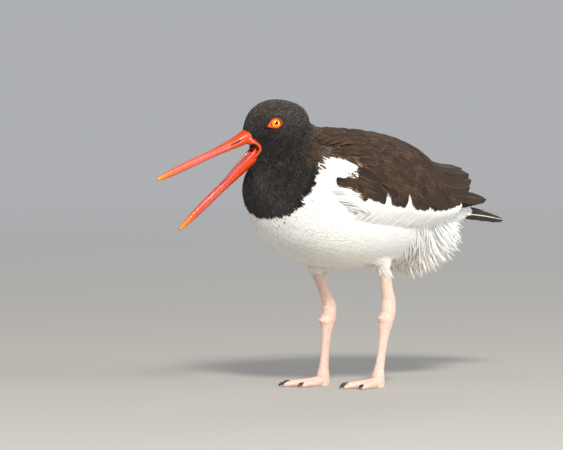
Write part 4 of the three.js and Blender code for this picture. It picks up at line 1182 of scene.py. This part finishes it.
# The closed tail is a low roof: the middle pair on its ridge, the others lower and more tilted to each side.
def tailVanes(first, last):
    side, i = (grid.reshape(-1, 1) for grid in np.meshgrid([-1, 1], np.arange(first, last), indexing="ij"))
    share = (i + 0.35) / (tail["pairs"] - 0.65)
    aside = side * share
    root = np.hstack([aside * 15, 122 + 0 * share, 151.5 - 7.5 * share])
    tip = np.hstack([aside * tail["spread"], tail["endY"] - 3.5 * share * share, 145.0 - 7.5 * share])
    t = np.linspace(0, 1, 13)[None, :, None]
    path = mix(root[:, None], tip[:, None], t)
    path[..., 2] += 1.2 * np.sin(t[..., 0] * np.pi)
    facing = np.broadcast_to(np.hstack([aside, 0.15 + 0 * share, 1 + 0 * share])[:, None], path.shape)
    half = np.full(len(path), tail["half"])
    return vanes(path, facing, half, brownTones(len(path), 0.5), across=9, pointed=0.3, arch=0.06)


# White feathers round the root of the tail, in rings from the rump to the underside, shorter above.
def tailCoverts():
    start, finish, facing = [], [], []
    for y, turned in ((104, 0), (110, 1), (116, 0), (122, 1)):
        share = (y - 104) / 22
        for angle in np.radians(np.arange(-165 + 7.5 * turned, 180, 15)):
            x, z = ringPoint(angle, mix(20, 14, share), mix(14, 7, share), mix(22, 8, share))
            way = unit(vec(x * 0.012, 1, -0.12 - 0.10 * (z > 0)))
            start.append(vec(x, y, mix(152, 148, share) + z))
            finish.append(start[-1] + way * draw.uniform(15, 21) * (0.55 if z > 0 else 1.0))
            facing.append(unit(vec(x, 0, z)))
    start, finish, facing = (np.array(rows)[:, None] for rows in (start, finish, facing))
    t = np.linspace(0, 1, 9)[None, :, None]
    path = mix(start, finish, t) + facing * (1.2 * np.sin(t * np.pi) - 1.0 * t)
    tone = marks["white"] * draw.uniform(0.95, 1.0, (len(start), 1))
    half = draw.uniform(3.4, 4.8, len(start))
    return vanes(path, np.broadcast_to(facing, path.shape), half, tone, pointed=0.5)


addVanes("tailFeathers", [tailVanes(0, 5)], flightVane, ["tail"], "plumage_brown")
addVanes("outerTailFeathers", [tailVanes(5, 6)], tailVane, [], "plumage_brown")
addVanes("tailCoverts", [tailCoverts()], whiteVane, [], "plumage_white")
print("stage: tail feathered")


# Bare parts

# Painted highlights on the bill: where along it they lie, how much they cover, and their pale colour.
paintedGlint = {"from": 0.27, "to": 0.9, "share": 0.7, "colour": (0.80, 0.38, 0.32)}


# Horn of the bill: colour by its own map along the bill, pale flecks in the middle as painted highlights, a
# yellow tip.
def billMaterial(name, stops):
    material, tree = newMaterial(name)
    _, _, along = ownMap(tree)
    where = objectPlace(tree)
    stretch = noiseNode(tree, where, scale=260.0, detail=4.0)
    wander = times(tree, mathNode(tree, "SUBTRACT", stretch, 0.5), 0.10)
    base = ramped(tree, mathNode(tree, "ADD", along, wander), stops)
    glintAndRoughness = noiseNode(tree, where, scale=800.0, detail=5.0, roughness=0.7)
    middle = times(tree, mathNode(tree, "GREATER_THAN", along, paintedGlint["from"]),
                   mathNode(tree, "LESS_THAN", along, paintedGlint["to"]))
    # Painted highlights: pale flecks by noise along the bill's middle; the same noise also sets roughness and
    # bump.
    pale = times(tree, smoothNode(tree, glintAndRoughness, 0.52, 0.72), times(tree, middle, paintedGlint["share"]))
    rough = mathNode(tree, "ADD", times(tree, glintAndRoughness, 0.3), 0.22)
    values = {"Roughness": rough, "Coat Weight": 0.15, "Subsurface Weight": 0.05,
              "Subsurface Radius": (0.003, 0.001, 0.0006)}
    return finished(material, mixColour(tree, pale, base, paintedGlint["colour"]), values, (glintAndRoughness, 0.35, 0.0002))


orangeRed = (0.60, 0.040, 0.001)
upperHorn = billMaterial("upperHorn", [
    (0.0, orangeRed), (0.24, (0.68, 0.060, 0.002)), (0.38, (0.62, 0.070, 0.028)), (0.55, (0.62, 0.105, 0.07)),
    (0.8, (0.64, 0.09, 0.045)), (0.9, (0.66, 0.15, 0.01)), (0.97, (0.66, 0.28, 0.008))])
lowerHorn = billMaterial("lowerHorn", [
    (0.0, orangeRed), (0.3, (0.66, 0.048, 0.002)), (0.42, (0.60, 0.060, 0.026)), (0.62, (0.60, 0.070, 0.04)),
    (0.8, (0.64, 0.065, 0.006)), (0.9, (0.66, 0.16, 0.004)), (0.97, (0.66, 0.27, 0.008))])


# Flesh or horn of one colour: the colour times speckle, a little light passing through.
def fleshMaterial(name, base, roughness, wet):
    material, tree = newMaterial(name)
    tone, height = useSpeckle(tree, 900.0, 140.0, 0.4)
    values = {"Roughness": roughness, "Coat Weight": wet, "Subsurface Weight": 0.2,
              "Subsurface Radius": (0.002, 0.0008, 0.0005)}
    return finished(material, shaded(tree, base, tone), values, (height, 0.4, 0.0002))


gapeFlesh = fleshMaterial("gapeFlesh", (0.66, 0.060, 0.002), 0.42, 0.1)
lidFlesh = fleshMaterial("lidFlesh", (0.66, 0.048, 0.002), 0.4, 0.1)
# Painted shade: the mouth lining's red is darkened almost to black, for the shade inside the open mouth.
mouthFleshPaintedShade = fleshMaterial("mouthFleshPaintedShade", (0.055, 0.006, 0.008), 0.35, 0.4)
tongueFlesh = fleshMaterial("tongueFlesh", (0.46, 0.105, 0.12), 0.3, 0.4)
clawHorn = fleshMaterial("clawHorn", (0.028, 0.021, 0.018), 0.38, 0.2)

upperBill = {
    "base": inHead(25, 0, -2), "direction": unit(inHead(113.9, 0, -23.1) - inHead(27, 0, -3)),
    "length": 89, "start": -0.12, "jaw": 0.062, "nostril": (0.112, 0.212), "nostrilHeight": 0.9,
    "half": through((-0.12, 4.2), (0, 6.6), (0.15, 5.6), (0.35, 4.2), (0.7, 2.9), (0.92, 2), (1, 1.3)),
    "above": through((-0.12, 5), (0, 7.4), (0.15, 5.4), (0.35, 3.9), (0.7, 3.7), (0.92, 2.7), (1, 1.5)),
    "below": through((0, 6.6), (0.15, 5), (0.35, 3.7), (0.7, 3.5), (0.92, 2.5), (1, 1.5)),
}
lowerBill = {
    "base": inHead(25.5, 0, -19), "direction": unit(inHead(101.3, 0, -67.6) - inHead(27, 0, -20)),
    "length": 88, "start": -0.08, "jaw": 0.055, "trough": 0.46,
    "half": through((-0.08, 5.2), (0, 7.1), (0.2, 5.8), (0.42, 3.8), (0.7, 2.7), (0.92, 1.9), (1, 1.2)),
    "above": through((0, 5.6), (0.2, 4.3), (0.42, 3.6), (0.7, 3.4), (0.92, 2.4), (1, 1.4)),
    "below": through((0, 6.4), (0.2, 5), (0.42, 4.1), (0.7, 3.6), (0.92, 2.4), (1, 1.4)),
}


# A point of a bill from its share along and its offsets across and up.
def billPoint(bill, share, across, up):
    upNow = unit(np.cross(bill["direction"], left))
    return (bill["base"] + bill["direction"] * (share * bill["length"])[..., None]
            + left * across[..., None] + upNow * up[..., None])


# Shares along a bill, the last rings drawn in to a round end, with the turn of its rings and its sizes.
def billGrid(bill, around):
    rows = 160
    t = np.append(np.linspace(bill["start"], 1, rows), [1.006, 1.010, 1.0125])[:, None]
    shrink = np.append(np.ones(rows), [0.8, 0.5, 0.2])[:, None]
    return t, shrink, *turnOf(around), *(bill[k](np.minimum(t, 1)) for k in ("half", "above", "below"))


# Upper bill: a narrow rounded ridge on top, full sides, a cutting edge below, a slit pressed in each side.
def upperBillRings():
    t, shrink, s, c, half, above, below = billGrid(upperBill, 72)
    x = bent(s, mix(1.25, 1.0, smooth(0.0, -0.6, c))) * half
    z = np.where(c > 0, np.abs(c) ** 0.95 * above, -np.abs(c) ** 0.85 * below)
    groove = bell(z, 0.7, 0.8) * smooth(0.04, 0.08, t) * smooth(0.48, 0.3, t)
    slit = bell(z, upperBill["nostrilHeight"], 0.5) * smooth(0.108, 0.122, t) * smooth(0.216, 0.202, t)
    x = x - np.sign(x) * (0.5 * groove + 1.3 * slit) * (np.abs(x) > 1.2)
    x = x - np.sign(x) * 0.28 * bell(z, -0.72 * below, 0.55) * (np.abs(x) > 1)
    palate = smooth(0.8, 0.2, np.abs(s)) * (c < 0) * 1.8 * smooth(0.95, 0.5, t) * smooth(-0.01, 0.03, t)
    jaw = upperBill["jaw"] * smooth(0, 1, -z / below) * smooth(0.2, 0.0, t)
    return billPoint(upperBill, t - jaw, x * shrink, (z + palate) * shrink)


# Lower bill: the keel below, and above it a trough for the tongue that closes where the two sides join.
def lowerBillRings():
    t, shrink, s, c, half, above, below = billGrid(lowerBill, 80)
    x = bent(s, mix(1.0, 1.2, smooth(0.0, -0.6, c))) * half
    parted = smooth(lowerBill["trough"] + 0.04, 0.1, t)
    rim = above * np.where(c > 0, np.abs(c) ** mix(0.95, 0.35, parted), 0)
    deep = (above + 2.6) * parted * smooth(0.80, 0.5, np.abs(s))
    groove = 0.6 * (1 - parted) * smooth(0.4, 0.1, np.abs(s)) * smooth(0.98, 0.85, t)
    z = np.where(c > 0, rim - deep - groove, -np.abs(c) ** 0.9 * below)
    line = bell(z, 0.2, 0.6) * smooth(0.2, 0.45, t) * smooth(0.95, 0.8, t)
    x = x - np.sign(x) * 0.22 * line * (np.abs(x) > 1)
    jaw = lowerBill["jaw"] * smooth(0, 1, z / above) * smooth(0.2, 0.0, t)
    return billPoint(lowerBill, t - jaw, x * shrink, z * shrink)


# The nostril's inside: a thin lens just under each slit, in the claws' dark horn as painted shade in the
# hole.
def nostrilRings(side):
    t = np.linspace(*upperBill["nostril"], 24)[:, None]
    s, c = turnOf(16)
    swell = dome((t - 0.162) / 0.0502)
    reach = upperBill["half"](t) - 1.0
    up = upperBill["nostrilHeight"] + 0.7 * c * swell
    return billPoint(upperBill, t + 0 * s, side * (reach + 0.5 * s * swell), up)


addTube("upperBill", upperBillRings(), upperHorn, ["bill_upper"], "bill")
addTube("lowerBill", lowerBillRings(), lowerHorn, ["bill_lower"], "bill")
for side, name in bothSides:
    addTube("nostril_" + name, nostrilRings(side), clawHorn, [], "bill")

tongue = {
    "from": -0.02, "to": 0.40, "up": 2.6,
    "half": through((0, 4.4), (0.5, 3), (0.92, 1.2), (1, 0.3)),
    "above": through((0, 2.4), (1, 0.7)),
    "below": through((0, 2), (1, 0.7)),
}


# Tongue: a tapering bar with a low ridge and a groove down its middle, laid along the lower bill.
def tongueRings():
    t = np.linspace(0, 1, 50)[:, None]
    s, c = turnOf(32)
    groove = 0.7 * bell(s, 0, 0.25) * smooth(0.95, 0.7, t)
    z = np.where(c > 0, c * tongue["above"](t) - groove, c * tongue["below"](t))
    up = z * smooth(-0.02, 0.05, t + 0.02) + tongue["up"]
    return billPoint(lowerBill, mix(tongue["from"], tongue["to"], t) + 0 * s, s * tongue["half"](t), up)


# Mouth lining: the mouth's wedge drawn a little smaller, as a cup with an outer and an inner wall, its red
# darkened almost to black as painted shade inside the open mouth.
def liningRings():
    return np.concatenate([mouthRings(26, 23.4, -0.05, "lining"), mouthRings(26, 23.2, -0.6, "lining")[::-1]])


addTube("tongue", tongueRings(), tongueFlesh, ["tongue"], "tongue")
addTube("mouthLining", liningRings(), mouthFleshPaintedShade, ["mouth_lining"], "mouth")

gape = {
    "line": ((31, 4.6, -5.0), (26, 7.2, -5.4), (22.0, 8.6, -8.6), (20.2, 8.9, -12.6), (22.2, 8.3, -16.2),
             (27.8, 6.8, -20.0)),
    "wide": through((0, 0.6), (0.2, 0.9), (0.5, 1.2), (1, 1.3)),
    "high": through((0, 2.2), (0.15, 2.7), (0.34, 1.6), (0.52, 1.25), (1, 1.3)),
}


# Gape: a soft round band from the upper jaw round the corner of the mouth to the lower jaw, rippled,
# thicker at the corner, and drawn in at both ends.
def gapeRings(side):
    line = lineThrough(*(inHead(f, side * l, u) for f, l, u in gape["line"]))
    t = np.linspace(0, 1, 70)
    ripple = 1 + 0.03 * np.sin(t * 41) + 0.12 * bell(t, 0.52, 0.06)
    taper = (ripple * np.sqrt(np.clip(np.minimum(t, 1 - t) * 8, 0.02, 1)))[:, None]
    s, c = turnOf(28)
    return limbRings(line, t, s * (gape["wide"](t)[:, None] * taper), c * (gape["high"](t)[:, None] * taper))


for side, name in bothSides:
    addTube("gape_" + name + "_band", gapeRings(side), gapeFlesh, ["gape_" + name], "bill")


# Eyes

# The iris is painted by distance from the eye's axis: black pupil, bright yellow ring, darker rim.
def eyeMaterial():
    material, tree = newMaterial("irisGlass")
    spot, _, away = ownMap(tree)
    yellow = mixColour(tree, noiseNode(tree, spot, scale=22.0), (0.80, 0.30, 0.002), (0.90, 0.46, 0.004))
    stops = [(0.08, (0.8, 0.5, 0.3)), (0.11, (1, 1, 1)), (0.2, (1, 1, 1)), (0.27, (0.7, 0.35, 0.2))]
    rings = ramped(tree, away, stops)
    pupil = mathNode(tree, "LESS_THAN", away, 0.092)
    colour = mixColour(tree, pupil, shaded(tree, yellow, rings), (0.004, 0.004, 0.005))
    return finished(material, colour, {"Roughness": 0.08, "Coat Weight": 1.0, "Coat Roughness": 0.02})


irisGlass = eyeMaterial()


# The eyeball: circles about its own axis, from the pupil to the back by even steps of the angle.
def eyeRings(side):
    spot, out, ahead, up = eyeAxes(side)
    centre = spot + out * (eye["bulge"] - eye["radius"])
    tilt = np.linspace(0.004, 0.996, 60)[:, None] * np.pi
    s, c = turnOf(48)
    across = eye["radius"] * np.sin(tilt)
    return (centre + out * (eye["radius"] * np.cos(tilt) + 0 * s)[..., None] + ahead * (across * c)[..., None]
            + up * (across * s)[..., None])


lid = {"radius": 4.0, "tube": 0.56, "rise": 0.75, "corner": 0.9}


# The lid: a ring of bare flesh, round in section, drawn out to a corner ahead of and below the eye.
def lidRings(side):
    spot, out, ahead, up = eyeAxes(side)
    a = np.linspace(0, 2 * np.pi, 90, endpoint=False)[:, None]
    s, c = turnOf(18)
    radius = lid["radius"] + (lid["tube"] + 0.20 * np.cos(a) + 0.04 * np.sin(9 * a)) * c
    x, y = radius * np.cos(a), radius * np.sin(a)
    z = lid["rise"] * s + 0 * a - 0.05 * x
    front = np.maximum(0, x - 2)
    x, y = x * 1.2 + front * lid["corner"], y * (0.95 - front * 0.16) - front * 0.5
    return spot + ahead * x[..., None] + up * y[..., None] + out * z[..., None]


# Rings that meet end to end.
def addHoop(name, rings, material, nodeNames, slotName):
    rows, around = rings.shape[:2]
    quads, grain = squares(rows + 1, around)
    quads = quads % (rows * around)
    points = rings.reshape(-1, 3)
    centre = points.mean(0)
    p, q, r = (points[quads[:, n]] - centre for n in range(3))
    if dot(p, np.cross(q, r)).sum() < 0:
        quads = quads[:, ::-1]
    piece = addPiece(name, points, [quads], grain=grain, material=material)
    place(piece, nodeNames, slotName)


for side, name in bothSides:
    addTube("eyeball_" + name, eyeRings(side), irisGlass, ["eye_" + name], "iris")
    addHoop("lid_" + name, lidRings(side), lidFlesh, ["eyelid_" + name], "eyelid")
print("stage: bill, mouth and eyes made")


# Legs and feet

# Scaled skin: cells on object coordinates, redder and sunken between the scales.
def scaleMaterial():
    material, tree = newMaterial("pinkScales")
    inputs = {"Vector": objectPlace(tree), "Scale": 620.0}
    cells = addNode(tree, "ShaderNodeTexVoronoi", inputs, feature="DISTANCE_TO_EDGE")
    line = smoothNode(tree, cells.outputs[0], 0.0, 0.11)
    tone, height = useSpeckle(tree, 700.0, 90.0, 0.22)
    colour = mixColour(tree, line, (0.74, 0.38, 0.30), shaded(tree, (0.90, 0.68, 0.58), tone))
    values = {"Roughness": 0.5, "Subsurface Weight": 0.25, "Subsurface Radius": (0.003, 0.001, 0.0006)}
    raised = mathNode(tree, "ADD", line, times(tree, height, 0.4))
    return finished(material, colour, values, (raised, 0.5, 0.0003))


pinkScales = scaleMaterial()
shank = {
    "half": through((0, 4.6), (0.28, 4.6), (0.42, 5.6), (0.5, 5.2), (0.62, 3.5), (0.84, 3.4), (0.93, 5.4),
                    (1, 5.2)),
    "deep": through((0, 5.4), (0.28, 5.4), (0.42, 7.4), (0.5, 6.8), (0.62, 4.5), (0.84, 4.4), (0.93, 5.6),
                    (1, 5.4)),
}


# The shank: rings along the bent leg with a knob before the heel, folds at the joint and scutes below.
def shankRings(leg, first, last, rows):
    hip, fluff, heel, foot = (leg[k] for k in ("hip", "fluff", "heel", "foot"))
    line = lineThrough(mix(hip, fluff, 0.6), fluff, mix(heel, fluff, 0.4), heel, mix(heel, foot, 0.3),
                       mix(heel, foot, 0.8), foot, vec(foot[0], foot[1] + 0.4, 0))
    share = np.linspace(first, last, rows)
    t = share[:, None]
    s, c = turnOf(56)
    front = smooth(-0.2, 0.8, c)
    knob = 2.3 * bell(t, 0.485, 0.020) * front - 1.0 * bell(t, 0.42, 0.03) * front
    folds = 0.16 * np.sin(t * 380) * bell(t, 0.49, 0.05)
    scutes = 0.10 * np.abs(np.sin(t * 150)) * smooth(0.55, 0.62, t) * front
    grow = 1 + (folds + scutes) / 5
    p = limbRings(line, share, bent(s, 0.92) * shank["half"](t) * grow, c * shank["deep"](t) * grow + knob)
    p[..., 2] = np.maximum(p[..., 2], 0)
    return p


toe = {
    "start": 2.5,
    "high": through((0, 4.4), (0.2, 3.2), (0.5, 2.5), (0.8, 2.2), (1, 1.8)),
    "half": through((0, 4), (0.25, 3.7), (0.42, 4.1), (0.62, 3.6), (0.8, 3.5), (1, 2.1)),
    "deep": through((0, 4.4), (0.3, 3.7), (0.6, 3), (1, 2.1)),
    "spread": (("middle", 0, 35), ("outer", 27, 30), ("inner", -28, 27)),  # degrees outward, length
}


# A toe: a fleshy bar on the floor with a pad under each joint and narrow scutes across its top.
def toeRings(foot, turn, length):
    ahead = vec(np.sin(turn), -np.cos(turn), 0)
    side = vec(np.cos(turn), np.sin(turn), 0)
    start = foot * [1, 1, 0] + ahead * toe["start"]
    reach = np.append(np.linspace(0, 1, 60), [1.02, 1.035, 1.045])[:, None]
    shrink = np.append(np.ones(60), [0.85, 0.6, 0.3])[:, None]
    s, c = turnOf(40)
    scutes = 0.12 * np.abs(np.sin(reach * length * 1.1)) * smooth(0, 0.6, c)
    x = s * toe["half"](reach) * shrink * 0.96
    z = toe["high"](reach) + (c * toe["deep"](reach) + scutes) * shrink
    p = (start + ahead * (reach * (length - toe["start"])))[:, None] + side * x[..., None]
    p[..., 2] = np.maximum(z, 0)
    return p


claw = {
    "line": ((-1.8, 2.7), (2.4, 2.9), (5.8, 1.0)),  # past the toe's end, height
    "half": through((0, 1.6), (0.5, 1.35), (0.9, 0.6), (1, 0.15)),
    "deep": through((0, 1.75), (0.5, 1.3), (0.9, 0.6), (1, 0.15)),
}


# A claw: a tapering hook bent down to the floor.
def clawRings(foot, turn, length):
    ahead = vec(np.sin(turn), -np.cos(turn), 0)
    line = lineThrough(*(vec(foot[0], foot[1], z) + ahead * (length + past) for past, z in claw["line"]))
    p = ovalLimb(line, claw["half"], claw["deep"], 24, 20)
    p[..., 2] = np.maximum(p[..., 2], 0)
    return p


for name, leg in legs.items():
    upper, lower = shankRings(leg, 0.0, 0.43, 90), shankRings(leg, 0.41, 1.0, 170)
    addTube("upperShank_" + name, upper, pinkScales, ["tibia_" + name], "bare_legs")
    addTube("lowerShank_" + name, lower, pinkScales, ["tarsus_" + name], "bare_legs")
    for toeName, spread, length in toe["spread"]:
        label = toeName + "_" + name
        pose = (leg["foot"], leg["turn"] + leg["out"] * np.radians(spread), length)
        addTube("scaledToe_" + label, toeRings(*pose), pinkScales, ["toe_" + label], "bare_legs")
        addTube("hook_" + label, clawRings(*pose), clawHorn, ["claw_" + label], "claw")
print("stage: legs and feet made")


# Floor, light and camera

room = {"floor": (0.50, 0.485, 0.46), "air": (0.42, 0.43, 0.445), "black": (0.0, 0.0, 0.0),
        "fade": (0.5, 3.5), "size": 60000.0, "depth": -0.05}  # the fade in metres, size and depth in mm


# The floor fades with distance to the colour of the air round it, so no edge shows.
def addFloor():
    material, tree = newMaterial("paleFloor")
    tone, _ = useSpeckle(tree, 60.0, 4.0, 0.03)
    away = addNode(tree, "ShaderNodeVectorMath", {0: objectPlace(tree)}, operation="LENGTH")
    far = smoothNode(tree, away.outputs["Value"], *room["fade"])
    near = mixColour(tree, far, shaded(tree, room["floor"], tone), room["black"])
    values = {"Emission Color": mixColour(tree, far, room["black"], room["air"]), "Emission Strength": 1.0,
              "Roughness": 0.9, "Specular IOR Level": 0.0}
    finished(material, near, values)
    size = room["size"]
    corners = np.array([(x * size, y * size, room["depth"]) for x, y in ((-1, -1), (1, -1), (1, 1), (-1, 1))])
    addPiece("floor", corners, [np.array([[0, 1, 2, 3]])], material=material)


# A camera or light at a place, turned to look at a point.
def stand(name, data, spot, aim):
    thing = bpy.data.objects.new(name, data)
    thing.location = spot
    thing.rotation_euler = (Vector(aim) - thing.location).to_track_quat("-Z", "Y").to_euler()
    bpy.context.scene.collection.objects.link(thing)
    return thing


view = {"azimuth": 45.0, "elevation": 3.0, "distance": 5.0, "width": 0.4786, "across": -76.3, "height": 138.2}


def addCamera():
    azimuth, elevation = np.radians(view["azimuth"]), np.radians(view["elevation"])
    away = vec(np.sin(azimuth) * np.cos(elevation), -np.cos(azimuth) * np.cos(elevation), np.sin(elevation))
    right = vec(np.cos(azimuth), np.sin(azimuth), 0)
    aim = (right * (view["across"] / np.sqrt(2)) + vec(0, 0, view["height"]) + toFrame) * millimetre
    data = bpy.data.cameras.new("camera")
    data.sensor_width = 36.0
    data.lens = data.sensor_width * view["distance"] / view["width"]
    data.clip_end = 50
    bpy.context.scene.camera = stand("camera", data, aim + away * view["distance"], aim)


# Place in metres, watts, size in metres and colour.
lamps = {
    "key": ((2.4, -2.0, 2.3), 140, 0.6, (1.0, 0.96, 0.88)),
    "fill": ((2.5, 1.0, 0.7), 36, 1.6, (0.93, 0.96, 1.0)),
    "rim": ((-1.6, 1.8, 1.8), 9, 1.0, (1.0, 0.98, 0.95)),
}

addFloor()
addCamera()
for name, (spot, power, size, colour) in lamps.items():
    data = bpy.data.lights.new(name, "AREA")
    data.energy = power
    data.size = size
    data.color = colour
    stand(name, data, spot, (0, 0, 0.15))
scene = bpy.context.scene
world = bpy.data.worlds.new("softRoom")
world.use_nodes = True
world.node_tree.nodes["Background"].inputs[0].default_value = (*room["air"], 1)
world.node_tree.nodes["Background"].inputs[1].default_value = 1.0
scene.world = world
scene.view_settings.view_transform = "Standard"
scene.view_settings.look = "None"
print("stage: floor, lights and camera set")

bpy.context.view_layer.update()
